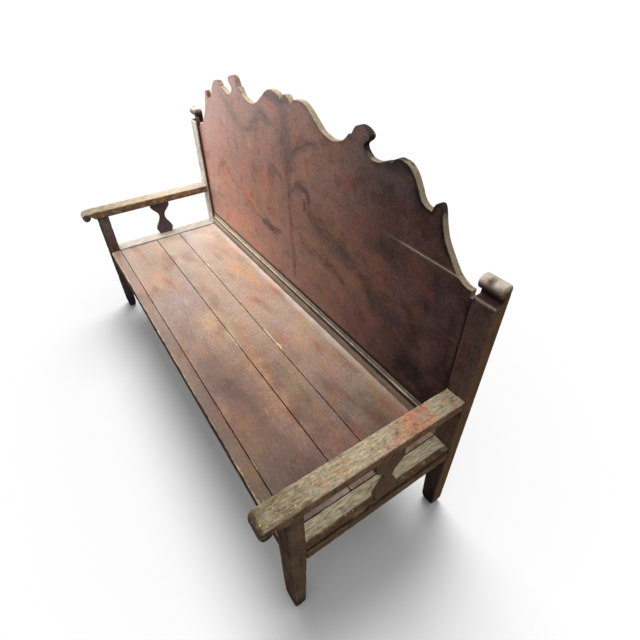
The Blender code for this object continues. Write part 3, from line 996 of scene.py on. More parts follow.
@dataclass
class Back:
    """The high back: a wide lower panel, the scrolled crest board over it and the moulding at its foot.

    Attributes:
        joint: height of the joint between panel and crest.
        crest: right half of the crest's outline: distance from the middle, height over the joint, corner.
        crest_end: where the sweep meets the joint.
        crest_top: height of the crest over the joint in the middle.
        panel_edge: height of the panel's top beside the posts.
        notch: width and depth of the step beside the post.
        strokes: the graining on both halves, as x and z.
        tones: lighter and darker zones, as x and z. The lower left ones are painted light, and the
        strip at x 0.972 is the post's painted shadow.
        ochres: warm zones, as x and z.
        reds: zones where the coat is redder or, below nought, greyer, as x and z.
        blues: zones where it is bluer or, below nought, yellower, as x and z.
        coated: parts of the crest's sawn edge that still have their paint, as x and z.
        ground: how light the paint is in the middle.
        fade: painted light, the paint lighter by this for each metre towards the lit left end.
        chips: pale scuffs, as x and z.
    """

    ground: float = -0.05
    fade: float = 0.38
    chips: tuple[Patch, ...] = (
        Patch((-0.87, 0.67), (0.02, 0.009), 0.9), Patch((-0.35, 1.06), (0.022, 0.028), 0.35),
        Patch((-0.6, 1.1), (0.012, 0.025), 0.28), Patch((0.32, 0.655), (0.022, 0.018), 0.22),
    )
    joint: float = 1.036
    crest_end: float = 0.902
    crest_top: float = 0.293
    panel_edge: float = 1.019
    notch: tuple[float, float] = (0.019, 0.022)
    crest: tuple[tuple[float, float, bool], ...] = (
        (0.013, 0.289, CURVE), (0.027, 0.281, CURVE), (0.036, 0.274, CORNER), (0.043, 0.273, CORNER),
        (0.048, 0.28, CURVE), (0.058, 0.285, CURVE), (0.076, 0.289, CURVE), (0.099, 0.291, CURVE),
        (0.123, 0.289, CURVE), (0.146, 0.281, CURVE), (0.171, 0.266, CURVE), (0.202, 0.245, CURVE),
        (0.232, 0.225, CURVE), (0.262, 0.214, CURVE), (0.3, 0.208, CURVE), (0.337, 0.215, CURVE),
        (0.362, 0.225, CURVE), (0.378, 0.24, CURVE), (0.391, 0.251, CORNER), (0.404, 0.252, CORNER),
        (0.412, 0.268, CURVE), (0.425, 0.282, CURVE), (0.446, 0.288, CURVE), (0.47, 0.285, CURVE),
        (0.489, 0.277, CURVE), (0.497, 0.267, CURVE), (0.491, 0.255, CURVE), (0.476, 0.244, CURVE),
        (0.47, 0.234, CURVE), (0.479, 0.22, CURVE), (0.5, 0.207, CURVE), (0.521, 0.204, CURVE),
        (0.545, 0.207, CURVE), (0.57, 0.217, CURVE), (0.585, 0.222, CORNER), (0.598, 0.22, CORNER),
        (0.607, 0.232, CURVE), (0.624, 0.24, CURVE), (0.646, 0.24, CURVE), (0.669, 0.233, CURVE),
        (0.69, 0.217, CURVE), (0.706, 0.196, CURVE), (0.718, 0.178, CURVE), (0.729, 0.16, CURVE),
        (0.748, 0.146, CURVE), (0.772, 0.14, CORNER), (0.776, 0.153, CORNER), (0.784, 0.165, CURVE),
        (0.794, 0.171, CURVE), (0.803, 0.167, CURVE), (0.81, 0.154, CURVE), (0.817, 0.131, CURVE),
        (0.825, 0.108, CURVE), (0.836, 0.083, CURVE), (0.852, 0.06, CURVE), (0.876, 0.03, CURVE),
    )
    strokes: tuple[Stroke, ...] = (
        Stroke(((-0.17, 1.31), (-0.08, 1.302), (0.02, 1.302)), 0.045, 0.85),
        Stroke(((-0.03, 1.29), (-0.02, 1.2), (-0.01, 1.11), (-0.01, 1.04)), 0.1, 0.72),
        Stroke(((-0.09, 1.22), (-0.06, 1.15), (-0.03, 1.08), (-0.01, 1.03)), 0.028, 0.6),
        Stroke(((0.0, 1.06), (0.02, 1.105), (0.07, 1.16), (0.12, 1.195), (0.21, 1.208)), 0.028, 0.8),
        Stroke(((-0.01, 1.05), (0.0, 0.93), (0.0, 0.8), (0.01, 0.6), (0.01, 0.53)), 0.022, 0.66),
        Stroke(((0.02, 0.965), (0.04, 1.0), (0.08, 1.014), (0.13, 1.01), (0.15, 0.98), (0.15, 0.945)),
               0.022, 0.9),
        Stroke(((0.11, 0.96), (0.12, 0.938), (0.11, 0.924)), 0.026, 0.9),
        Stroke(((-0.18, 0.965), (-0.16, 0.996), (-0.13, 1.016), (-0.09, 1.008), (-0.06, 0.982)),
               0.026, 0.66),
        Stroke(((-0.15, 0.96), (-0.13, 0.935)), 0.022, 0.5),
        Stroke(((0.15, 0.915), (0.21, 0.89), (0.27, 0.872), (0.33, 0.862), (0.39, 0.84), (0.45, 0.84)),
               0.07, 0.74),
        Stroke(((0.07, 0.79), (0.11, 0.762), (0.19, 0.752), (0.27, 0.76), (0.34, 0.74), (0.39, 0.715)),
               0.036, 0.6),
        Stroke(((0.49, 0.815), (0.55, 0.77), (0.61, 0.742), (0.66, 0.74), (0.71, 0.716), (0.82, 0.705)),
               0.06, 0.8),
        Stroke(((-0.27, 0.708), (-0.23, 0.716), (-0.18, 0.714), (-0.1, 0.73)), 0.034, 0.95),
        Stroke(((-0.47, 0.722), (-0.43, 0.748), (-0.39, 0.744), (-0.35, 0.72), (-0.29, 0.722)),
               0.026, 0.54),
        Stroke(((-0.78, 0.828), (-0.72, 0.86), (-0.67, 0.87), (-0.63, 0.846), (-0.59, 0.815)), 0.028, 0.52),
        Stroke(((-0.62, 1.235), (-0.56, 1.2), (-0.5, 1.152), (-0.43, 1.134), (-0.37, 1.12)), 0.044, 0.62),
        Stroke(((-0.37, 1.12), (-0.31, 1.14), (-0.26, 1.185), (-0.23, 1.215), (-0.16, 1.218), (-0.11, 1.2)),
               0.034, 0.74),
    )
    # Lighter and darker zones: the lower left ones are painted light, and the narrow strip at x 0.972 is
    # the post's painted shadow
    tones: tuple[Patch, ...] = (
        Patch((-0.75, 0.58), (0.45, 0.22), 0.24), Patch((-0.62, 1.18), (0.45, 0.15), -0.2),
        Patch((-0.92, 0.56), (0.12, 0.14), 0.14), Patch((0.62, 1.18), (0.22, 0.12), -0.09),
        Patch((0.64, 1.26), (0.08, 0.03), -0.07), Patch((0.75, 0.56), (0.22, 0.12), -0.14),
        Patch((0.84, 0.92), (0.12, 0.16), -0.04), Patch((0.6, 1.0), (0.14, 0.08), -0.11),
        Patch((0.43, 0.55), (0.07, 0.07), -0.09), Patch((-0.82, 1.06), (0.1, 0.08), -0.09),
        Patch((0.1, 1.1), (0.28, 0.1), 0.05), Patch((0.972, 0.75), (0.01, 0.35), -0.3),
    )
    ochres: tuple[Patch, ...] = (
        Patch((-0.3, 0.93), (0.08, 0.14), 0.3), Patch((-0.4, 0.6), (0.25, 0.1), 0.3),
        Patch((0.08, 1.15), (0.05, 0.1), 0.25), Patch((-0.34, 1.06), (0.03, 0.04), 0.42),
        Patch((-0.62, 1.08), (0.02, 0.03), 0.38),
    )
    reds: tuple[Patch, ...] = (
        Patch((-0.68, 1.14), (0.16, 0.09), 0.9), Patch((-0.4, 1.06), (0.12, 0.08), 0.5),
        Patch((-0.2, 1.23), (0.22, 0.05), 0.4), Patch((0.1, 1.24), (0.07, 0.05), 0.6),
        Patch((0.52, 0.91), (0.18, 0.07), 0.5), Patch((0.52, 0.61), (0.13, 0.08), 0.9),
        Patch((0.6, 1.22), (0.16, 0.07), -1.0), Patch((-0.87, 0.62), (0.13, 0.11), -0.7),
        Patch((-0.05, 0.61), (0.1, 0.09), -0.5),
    )
    blues: tuple[Patch, ...] = (
        Patch((0.64, 1.18), (0.18, 0.12), 0.7), Patch((0.8, 0.9), (0.14, 0.12), 0.7),
        Patch((0.71, 0.66), (0.12, 0.12), 0.45), Patch((-0.4, 1.08), (0.14, 0.07), -0.35),
        Patch((-0.31, 0.57), (0.12, 0.05), -0.3),
    )
    coated: tuple[Patch, ...] = (
        Patch((0.44, 1.3), (0.09, 0.09), 1.0), Patch((0.62, 1.27), (0.07, 0.06), 0.75),
        Patch((0.79, 1.2), (0.03, 0.05), 1.0), Patch((-0.45, 1.3), (0.07, 0.07), 0.8),
        Patch((-0.64, 1.27), (0.07, 0.06), 0.7), Patch((-0.79, 1.2), (0.04, 0.05), 1.0),
    )

    def crest_line(self) -> np.ndarray:
        """Draw the crest: the given half, its mirror image and the joint below.

        Returns:
            Places round the crest.
        """
        right = [*self.crest, (self.crest_end, 0.0, CORNER)]
        left = [(-across, up, kind) for across, up, kind in reversed(right)]
        return drawn([*left, (0.0, self.crest_top, CURVE), *right])

    def panel_line(self, low: np.ndarray, high: np.ndarray) -> np.ndarray:
        """Draw the lower panel, up to the joint, with the ends of the sweep and the steps at the posts.

        Args:
            low: lowest corner of the solid.
            high: highest corner of the solid.

        Returns:
            Places round the panel.
        """
        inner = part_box("post_right")[0].x
        edge = self.panel_edge
        step = inner - self.notch[0]
        room = step - self.crest_end
        half = [
            (high[0], low[2], CORNER),
            (high[0], edge - self.notch[1], CORNER),
            (step, edge - self.notch[1], CORNER),
            (step, edge, CORNER),
            (step - 0.28 * room, edge - 0.001, CURVE),
            (step - 0.62 * room, edge + 0.005, CURVE),
            (self.crest_end, self.joint, CORNER),
        ]
        other = [(-across, up, kind) for across, up, kind in reversed(half)]
        return drawn([*half, *other])

    def joint_share(self, line: np.ndarray, level: float) -> np.ndarray:
        """Share of the arris radius: the boards meet sharp at the joint.

        Args:
            line: outline of a board.
            level: height of the joint in it.

        Returns:
            A share for each point.
        """
        return 1 - 0.97 * fall(line[:, 1] - level, 0.001)

    def traits(self, shell: Shell, is_crest: bool) -> dict[str, np.ndarray]:
        """Where the back is worn, grained, light and warm.

        Args:
            shell: the board's surface.
            is_crest: whether it is the crest.

        Returns:
            Values for each point.
        """
        places = shell.points[:, (0, 2)]
        front = shell.facing > FLAT
        wander = value_noise(shell.points, 0.05, 11) - 0.5
        shifted = places + 0.02 * np.column_stack([wander, value_noise(shell.points, 0.05, 12) - 0.5])
        stroke, sweep = lay_strokes(shifted, self.strokes)
        stroke = stroke * front
        across, up = places[:, 0], places[:, 1]
        # Painted light: lighter towards the left end, where the light falls
        tone = lay_patches(across, up, self.tones) + self.ground - self.fade * across
        warm = lay_patches(across, up, self.ochres)
        band = shell.band()
        scuffed = value_noise(shell.points, 0.035, 13)
        sawn = up > self.joint + 0.001 if is_crest else np.abs(across) > self.crest_end - 0.004
        rim = fall(shell.inset, 0.003) * (0.25 + 0.45 * scuffed)
        bare = np.where(shell.facing < -FLAT, 0.85, rim * (sawn | (band > 0.5)))
        coated = lay_patches(across, up, self.coated)
        edge = np.clip(0.62 + 0.4 * scuffed - 0.6 * coated, 0, 1)
        bare = np.where(sawn & (band > 0.45), edge, bare)
        seam = fall(up - self.joint, 0.002) * smooth_step(across, 0.58, 0.74)
        bare = np.maximum(bare, 0.95 * seam * front)
        rim = fall(shell.inset, 0.01) * smooth_step(up, self.joint + 0.01, self.joint + 0.04)
        tone = tone - 0.35 * band * coated - 0.16 * front * rim * (0.4 + scuffed)
        dust_and_sheen = 0.25 * band * sawn * (1 - np.clip(coated, 0, 1)) + 0.6 * seam * front
        notched = smooth_step(np.abs(across), 0.952, 0.956) * smooth_step(up, 0.99, 0.995)
        dust_and_sheen = np.maximum(dust_and_sheen, 0.9 * notched * band)
        cast = lay_casts(across, up, self.reds, self.blues)
        dust_and_sheen = np.maximum(dust_and_sheen, lay_patches(across, up, self.chips) * front)
        rear = shell.facing < -FLAT
        stained = value_noise(shell.points * np.array([0.3, 1.0, 1.0]), 0.1, 14) - 0.6
        line = fall(up - self.joint, 0.004)
        tone = np.where(rear, stained - 0.9 * line, tone)
        bare = np.where(rear, bare * (1 - line), bare)
        return {
            "bare": bare,
            "tone": tone,
            "warm": warm,
            "stroke": stroke,
            "dust_and_sheen": dust_and_sheen,
            "sweep": sweep,
            "cast": cast,
        }

    def build_boards(self, finish: WornPaint) -> None:
        """Make the panel and the crest.

        Args:
            finish: paint of both boards.
        """
        low, high = box_of("back_panel")
        middle = (low[1] + high[1]) / 2
        thick = high[1] - low[1]
        line = closed_outline(self.panel_line(low, high), 0.005)
        crisp = self.joint_share(line, self.joint)
        panel = Slab(line, thick, radius=0.0014, grid=0.009, rear_grid=0.03, band=0.006, crisp=crisp)
        shell = panel.placed(Lie.FRONT, (0.0, middle, 0.0))
        piece = Piece("painted_back_panel", ("back_panel",), "back_paint", depth=0.0008, seed=21)
        make_piece(piece, shell, self.traits(shell, False), finish)
        line = closed_outline(self.crest_line(), 0.003)
        crisp = self.joint_share(line, 0.0)
        crest = Slab(line, thick, radius=0.0018, grid=0.009, rear_grid=0.03, band=0.004, crisp=crisp)
        shell = crest.placed(Lie.FRONT, (0.0, middle, self.joint))
        piece = Piece("scrolled_crest_board", ("crest_board",), "back_paint", depth=0.0014, seed=22)
        make_piece(piece, shell, self.traits(shell, True), finish)

    def build_moulding(self, finish: WornPaint) -> None:
        """Make the moulding: a hollow, an arris, a quirk and a bevelled fillet carried along the back.

        Args:
            finish: its paint.
        """
        low, high = box_of("back_moulding")
        deep = high[1] - low[1]
        tall = high[2] - low[2]
        section = drawn([
            (0.0, 0.0, CORNER), (deep, 0.0, CORNER), (deep, tall, CORNER), (deep - 0.0015, tall, CORNER),
            (deep - 0.0055, tall - 0.021, CORNER), (deep - 0.0025, tall - 0.024, CORNER),
            (deep - 0.0025, tall - 0.028, CORNER), (deep - 0.006, tall - 0.03, CORNER),
            (0.0045, 0.016, CURVE), (0.0, 0.004, CORNER),
        ])
        ring = closed_outline(section, 0.0018)
        slab = Slab(ring, high[0] - low[0], radius=0.0004, grid=0.02, rear_grid=0.02, band=0.012)
        shell = slab.placed(Lie.END, (0.0, low[1], low[2]))
        up = shell.points[:, 2] - low[2]
        scuffed = value_noise(shell.points * np.array([0.25, 1.0, 1.0]), 0.012, 31)
        # left: painted light, the moulding lighter and paler towards the left end
        left = smooth_step(-shell.points[:, 0], -0.7, 0.7)
        ridge = bell(up, tall - 0.031, 0.0026) + bell(up, tall - 0.017, 0.0034)
        toe = bell(up, 0.004, 0.003)
        chip = bell(shell.points[:, 0], 0.77, 0.05) * bell(up, 0.022, 0.006)
        rubbed = (0.55 + 0.45 * left) * ridge * (0.55 + 0.6 * scuffed)
        bare = np.clip(rubbed + 0.7 * toe * left + 0.6 * chip, 0, 1)
        # Painted shade: darker in the quirk, in the shadow line where the fillet meets the back, and in the
        # hollow
        quirk = bell(up, tall - 0.026, 0.0025) + smooth_step(up, tall - 0.012, tall - 0.007)
        hollow = smooth_step(up, 0.006, 0.01) * (1 - smooth_step(up, tall - 0.038, tall - 0.034))
        traits = {
            "bare": bare,
            "tone": 0.6 * left - 0.35 - 0.4 * quirk - 0.32 * hollow,
            "dust_and_sheen": (0.3 + 0.3 * left) * np.clip(ridge + toe, 0, 1),
        }
        piece = Piece("foot_moulding", ("back_moulding",), "moulding_paint", depth=0.0006, seed=23)
        make_piece(piece, shell, traits, finish)


@dataclass
class EndFrame:
    """One end of the bench: rear post, front leg, arm, splat and side rail.

    Attributes:
        side: which end.
        rail_bottom: height of the rails' undersides, where the legs start to taper.
        foot_height: how far up the feet are worn.
        foot_inset: how much the worn feet draw in.
        foot_round: how round the feet's corners are.
        post_foot: width of a post's foot.
        leg_foot: width and depth of a leg's foot.
        scroll: setback, radius and neck depth of the post's rolled top.
        ledge_drop: how far the ledge before the neck lies below the top.
        nose: radius and drop of the arm's nose.
        nose_plan: roundness of the nose's corners seen from above.
        arm_thick: thickness of the arm behind its nose.
        margin: width of the painted margin on a side rail's top.
        waist: width of the splat's narrowest part.
        bulb: half the width of its widest part below the head.
        handled: lighter and darker zones of the arm's top, as y and x.
        reds: zones where the arm is redder or, below nought, greyer, as y and x.
        blues: zones where it is bluer or, below nought, yellower, as y and x.
        painted: zones of the arm's top that still have paint, as y and x.
    """

    side: Side
    rail_bottom: float = 0.341
    foot_height: float = 0.036
    foot_inset: float = 0.005
    foot_round: float = 0.24
    post_foot: float = 0.055
    leg_foot: tuple[float, float] = (0.068, 0.042)
    scroll: tuple[float, float, float] = (0.004, 0.0215, 0.022)
    ledge_drop: float = 0.065
    nose: tuple[float, float] = (0.0205, 0.004)
    nose_plan: float = 0.012
    arm_thick: float = 0.041
    margin: float = 0.019
    waist: float = 0.031
    bulb: float = 0.047
    handled: tuple[Patch, ...] = (
        Patch((-0.34, 0.0), (0.13, 9.0), -0.62), Patch((0.02, 0.0), (0.12, 9.0), 0.08),
        Patch((0.31, 0.0), (0.05, 9.0), -0.28),
    )
    reds: tuple[Patch, ...] = (
        Patch((0.2, 0.0), (0.1, 9.0), 0.7), Patch((0.02, 0.0), (0.06, 9.0), 0.4),
        Patch((-0.12, 0.0), (0.06, 9.0), -0.4),
    )
    blues: tuple[Patch, ...] = (
        Patch((0.31, 0.0), (0.04, 9.0), 0.9), Patch((0.16, 0.0), (0.06, 9.0), -0.4),
    )
    painted: tuple[Patch, ...] = (
        Patch((0.17, 1.02), (0.09, 0.3), 0.38), Patch((-0.2, 1.02), (0.05, 0.3), 0.08),
        Patch((0.06, 1.05), (0.12, 0.03), 0.25),
    )

    def name(self, word: str) -> str:
        """A piece's name with the end that it is at."""
        return f"{word}_{self.side.word}"

    def draw_in(self, points: np.ndarray, foot: float, width: float) -> np.ndarray:
        """Taper the inner face below the rail and draw the foot's end in.

        Below the rail the distance from the outer face shrinks in proportion to the drop, and over
        the last part all sides move inwards by the inset times the square of the share, and the
        corners by more: by how much farther they lie from the middle than the sides do.

        Args:
            points: places of a post or leg.
            foot: width at the floor.
            width: full width.

        Returns:
            The changed places.
        """
        made = points.copy()
        outer = self.side.value * HALF_LENGTH
        drop = np.clip(1 - made[:, 2] / self.rail_bottom, 0, 1)
        made[:, 0] = outer + (made[:, 0] - outer) * (1 - (1 - foot / width) * drop)
        share = np.clip(1 - made[:, 2] / self.foot_height, 0, 1) ** 2
        low = made[made[:, 2] < self.foot_height + 0.01]
        middle = (low.min(axis=0) + low.max(axis=0))[:2] / 2
        half = (low.max(axis=0) - low.min(axis=0))[:2] / 2
        off = made[:, :2] - middle
        size = np.abs(off / half)
        corner = np.hypot(size[:, 0], size[:, 1]) - size.max(axis=1)
        made[:, :2] -= off * share[:, None] * (self.foot_inset / half + self.foot_round * corner[:, None])
        return made

    def frame_traits(self, shell: Shell, light: float) -> dict[str, np.ndarray]:
        """Wear of a post, leg or splat: rubbed arrises, dark near the floor.

        Args:
            shell: its surface.
            light: how light its paint is.

        Returns:
            Values for each point.
        """
        scuffed = value_noise(shell.points, 0.04, 41)
        fine = value_noise(shell.points, 0.014, 42)
        up = shell.points[:, 2]
        arris = shell.arris(0.004, 3.0)
        bare = np.clip(0.55 * arris * (0.2 + scuffed) + 0.18 * smooth_step(fine, 0.75, 0.95), 0, 1)
        tone = light + 0.25 * (scuffed - 0.5) - 0.35 * smooth_step(-up, -0.16, 0.0)
        return {"bare": bare, "tone": tone, "warm": 0.25 * scuffed}

    def build_post(self, finish: WornPaint) -> None:
        """Make the rear post: a tapered foot and a shouldered top that rolls forward.

        Args:
            finish: the post's finish.
        """
        node = self.name("post")
        end = self.side.value
        low, high = box_of(node)
        deep = high[1] - low[1]
        setback, radius, neck = self.scroll
        ledge = high[2] - self.ledge_drop
        roll = (setback + radius, high[2] - radius)
        throat = deep - neck
        line = [
            (0.0, 0.0, CORNER),
            (0.0, ledge, CORNER),
            (throat - 0.002, ledge, CORNER),
            (throat, ledge + 0.008, CURVE),
            (throat - 0.001, roll[1] - radius - 0.003, CORNER),
            *arc(roll, radius, -85, -270),
            (deep - 0.008, high[2] - 0.004, CURVE),
            (deep, high[2] - 0.018, CORNER),
            (deep, 0.0, CORNER),
        ]
        ring = closed_outline(drawn(line), 0.006)
        slab = Slab(ring, high[0] - low[0], radius=0.003, grid=0.012, rear_grid=0.012, band=0.008)
        shell = slab.placed(Lie.END, ((low[0] + high[0]) / 2, low[1], 0.0))
        shell.points = self.draw_in(shell.points, self.post_foot, high[0] - low[0])
        traits = self.frame_traits(shell, -0.14)
        up = shell.points[:, 2]
        # Pale wood and a pale film along the ledge's front arris and over the roll's top: wear and dust,
        # and painted highlights there too
        lip = fall(up - ledge, 0.0018) * fall(shell.points[:, 1] - low[1], 0.0018)
        top = smooth_step(up, high[2] - 0.024, high[2] - 0.003)
        traits["bare"] = np.clip(0.6 * traits["bare"] + 1.2 * lip + 0.45 * top, 0, 1)
        streaked = value_noise(shell.points * np.array([0.25, 1.0, 1.0]), 0.008, 45)
        blotched = value_noise(shell.points, 0.018, 46)
        traits["dust_and_sheen"] = np.clip(top * (0.9 * streaked + 1.5 * blotched - 0.35) + 1.6 * lip, 0, 1)
        # Painted shade: darker in the cove under the roll
        neck = smooth_step(up, ledge + 0.002, ledge + 0.006) * smooth_step(-up, -roll[1], -roll[1] + radius)
        traits["tone"] = traits["tone"] - 0.35 * neck
        outer = np.clip(end * shell.facing, 0, 1)
        traits["tone"] = traits["tone"] + 0.32 * outer
        traits["warm"] = 0.55 * outer
        front = smooth_step(-shell.points[:, 1], -low[1] - 0.006, -low[1])
        traits["cast"] = front[:, None] * np.array([-0.1, -0.04, 0.12])
        # The left post's front above the seat: a pale film, partly dust and partly painted sheen
        if self.side is Side.LEFT:
            pale_sheen = (shell.points[:, 1] < low[1] + 0.004) * (up > 0.4)
            traits["dust_and_sheen"] = np.maximum(traits["dust_and_sheen"], 0.85 * pale_sheen)
        piece = Piece(self.name("rear_post"), (node,), "frame_paint", depth=0.002, seed=50 + end)
        make_piece(piece, shell, traits, finish)

    def build_leg(self, finish: WornPaint) -> None:
        """Make the front leg: square to the rail, tapered on its inner and rear faces below it.

        Args:
            finish: the leg's finish.
        """
        node = self.name("leg")
        end = self.side.value
        low, high = box_of(node)
        deep = high[1] - low[1]
        line = np.array([
            (0.0, 0.0),
            (self.leg_foot[1], 0.0),
            (deep, self.rail_bottom),
            (deep, high[2]),
            (0.0, high[2]),
        ])
        ring = closed_outline(line, 0.006)
        slab = Slab(ring, high[0] - low[0], radius=0.0045, grid=0.012, rear_grid=0.012, band=0.008)
        shell = slab.placed(Lie.END, ((low[0] + high[0]) / 2, low[1], 0.0))
        shell.points = self.draw_in(shell.points, self.leg_foot[0], high[0] - low[0])
        traits = self.frame_traits(shell, -0.12 if self.side is Side.RIGHT else -0.22)
        if self.side is Side.LEFT:
            traits["cast"] = np.clip(shell.facing, 0, 1)[:, None] * np.array([-0.05, 0.12, 0.6])
        # Painted shade: the front face darker
        traits["tone"] = traits["tone"] - 0.25 * smooth_step(-shell.points[:, 1], -low[1] - 0.006, -low[1])
        piece = Piece(self.name("front_leg"), (node,), "frame_paint", depth=0.0022, seed=60 + end)
        make_piece(piece, shell, traits, finish)

    def build_arm(self, finish: WornPaint) -> None:
        """Make the arm: a flat rail with a rolled nose, round in plan, and a hollow bracket before the leg.

        Args:
            finish: the arm's finish.
        """
        node = self.name("arm")
        end = self.side.value
        low, high = box_of(node)
        leg = box_of(self.name("leg"))[0][1]
        under = high[2] - self.arm_thick
        radius, drop = self.nose
        centre = (low[1] + radius, under + radius - drop)
        hollow = low[1] + 2 * radius + 0.0015
        bracket = leg - 0.011
        line = [
            (high[1], under, CORNER),
            (bracket, under, CORNER),
            ((bracket + hollow) / 2 - 0.001, under + 0.00975, CURVE),
            (hollow, under + 0.0195, CORNER),
            *arc(centre, radius, -8, -262),
            (centre[0] + 0.02, high[2] - 0.0012, CURVE),
            (centre[0] + 0.042, high[2], CORNER),
            (high[1], high[2], CORNER),
        ]
        width = high[0] - low[0]
        ring = closed_outline(drawn(line), 0.005)
        slab = Slab(ring, width, radius=0.0048, grid=0.01, rear_grid=0.01, band=0.006)
        middle = (low[0] + high[0]) / 2
        shell = slab.placed(Lie.END, (middle, 0.0, 0.0))
        reach = np.clip(self.nose_plan - (shell.points[:, 1] - low[1]), 0, self.nose_plan)
        narrow = self.nose_plan - np.sqrt(self.nose_plan**2 - reach**2)
        shell.points[:, 0] = middle + (shell.points[:, 0] - middle) * (1 - narrow / (width / 2))
        points = shell.points
        top = smooth_step(points[:, 2], high[2] - 0.006, high[2] - 0.001)
        scuffed = value_noise(points, 0.06, 71 + end)
        nose = smooth_step(-points[:, 1], -(low[1] + 0.05), -(low[1] + 0.005))
        arris = shell.arris(0.006, 3.0)
        hand = lay_patches(points[:, 1], points[:, 0], self.handled)
        red = lay_patches(points[:, 1], points[:, 0], self.painted)
        bare = np.clip(top * (0.5 + 0.4 * scuffed - red + 0.75 * nose) + 0.35 * arris, 0, 1)
        rear = smooth_step(points[:, 1], -0.15, 0.25)
        light = 0.1 if self.side is Side.LEFT else 0.2
        traits = {
            "bare": bare,
            # tone: the sides keep their dark paint; the nose darker, painted shade on its end face
            "tone": (light + hand) * top - (0.32 + 0.25 * nose) * (1 - top) - 0.25 * nose,
            "warm": (0.25 + 0.2 * scuffed) * (1 - nose),
            "cast": lay_casts(points[:, 1], points[:, 0], self.reds, self.blues),
            "dust_and_sheen": (0.55 if self.side is Side.LEFT else 0.04) * top * rear,
        }
        piece = Piece(self.name("arm_rest"), (node,), "arm_wood", depth=0.003, seed=70 + end)
        make_piece(piece, shell, traits, finish)

    def build_splat(self, finish: WornPaint) -> None:
        """Make the splat: a flat baluster with a square head, a narrow waist and a round bulb.

        Args:
            finish: the splat's finish.
        """
        node = self.name("splat")
        end = self.side.value
        low, high = box_of(node)
        height = high[2] - low[2]
        head = (high[1] - low[1]) / 2
        bulb = self.bulb
        waist = self.waist / 2
        half = [
            (bulb - 0.011, 0.0, CORNER), (bulb - 0.003, 0.016, CURVE), (bulb, 0.033, CURVE),
            (bulb - 0.009, 0.055, CURVE), (waist + 0.0105, 0.075, CURVE), (waist + 0.002, 0.095, CURVE),
            (waist, 0.109, CURVE), (waist + 0.0055, 0.129, CURVE), (head - 0.023, 0.142, CURVE),
            (head - 0.01, 0.156, CURVE), (head - 0.001, 0.168, CURVE), (head, 0.178, CORNER),
            (head, height, CORNER),
        ]
        other = [(-across, up, kind) for across, up, kind in reversed(half)]
        line = closed_outline(drawn([*half, *other]), 0.003)
        slab = Slab(line, high[0] - low[0], radius=0.0018, grid=0.01, rear_grid=0.01, band=0.004)
        shell = slab.placed(Lie.END, ((low[0] + high[0]) / 2, (low[1] + high[1]) / 2, low[2]))
        traits = self.frame_traits(shell, 0.0 if self.side is Side.RIGHT else -0.3)
        # Painted shade: the edge band darker
        traits["tone"] = traits["tone"] - 0.4 * shell.band()
        if self.side is Side.LEFT:
            traits["cast"] = np.clip(shell.facing, 0, 1)[:, None] * np.array([0.0, 0.3, 1.5])
        piece = Piece(self.name("arm_splat"), (node,), "splat_paint", depth=0.0012, seed=80 + end)
        make_piece(piece, shell, traits, finish)

    def build_rail(self, finish: WornPaint) -> None:
        """Make the side rail: bare on its top inside a painted margin, painted on its outer face.

        Args:
            finish: the rail's finish.
        """
        node = self.name("seat_rail")
        end = self.side.value
        low, high = box_of(node)
        outline = rectangle((low[0], low[1]), (high[0], high[1]), 0.006)
        slab = Slab(outline, high[2] - low[2], radius=0.0025, grid=0.008, rear_grid=0.02, band=0.005)
        shell = slab.placed(Lie.PLAN, (0.0, 0.0, (low[2] + high[2]) / 2))
        points = shell.points
        outer = HALF_LENGTH - end * points[:, 0]
        top = smooth_step(points[:, 2], high[2] - 0.003, high[2] - 0.0005)
        scuffed = value_noise(points, 0.03, 91)
        ragged = 0.003 * (value_noise(points, 0.02, 92) - 0.5)
        margin = self.margin if self.side is Side.RIGHT else 0.0
        bright = 0.75 if self.side is Side.LEFT else 0.0
        within = smooth_step(outer + ragged, margin - 0.0015, margin + 0.0015)
        rear = smooth_step(points[:, 1], 0.26, 0.33)
        inner = smooth_step(outer, high[0] - low[0] - 0.003, high[0] - low[0] - 0.001)
        under = smooth_step(-points[:, 2], -low[2] - 0.004, -low[2])
        bare = np.clip(top * within * (0.8 + 0.3 * scuffed) + 0.9 * under, 0, 1)
        face = (1 - top) * smooth_step(points[:, 2], low[2] + 0.036, low[2] + 0.052)
        traits = {
            "bare": bare,
            "tone": -0.75 * face - 0.35 * top * (1 - within) + 0.2 * (1 - top) - 0.22 * rear * top,
            "warm": 0.3 * scuffed * (1 - top),
            "stroke": 0.25 * face * scuffed,
            "dust_and_sheen": (0.08 * rear + bright) * top * within + 0.8 * bright * inner,
        }
        piece = Piece(self.name("side_rail"), (node,), "rail_wood", depth=0.0016, seed=90 + end)
        make_piece(piece, shell, traits, finish)

    def build(
        self, post: WornPaint, frame: WornPaint, arm: WornPaint, splat: WornPaint, rail: WornPaint
    ) -> None:
        """Make the whole end.

        Args:
            post: finish of the rear post.
            frame: finish of the leg.
            arm: finish of the arm.
            splat: finish of the splat.
            rail: finish of the side rail.
        """
        self.build_post(post)
        self.build_leg(frame)
        self.build_arm(arm)
        self.build_splat(splat)
        self.build_rail(rail)


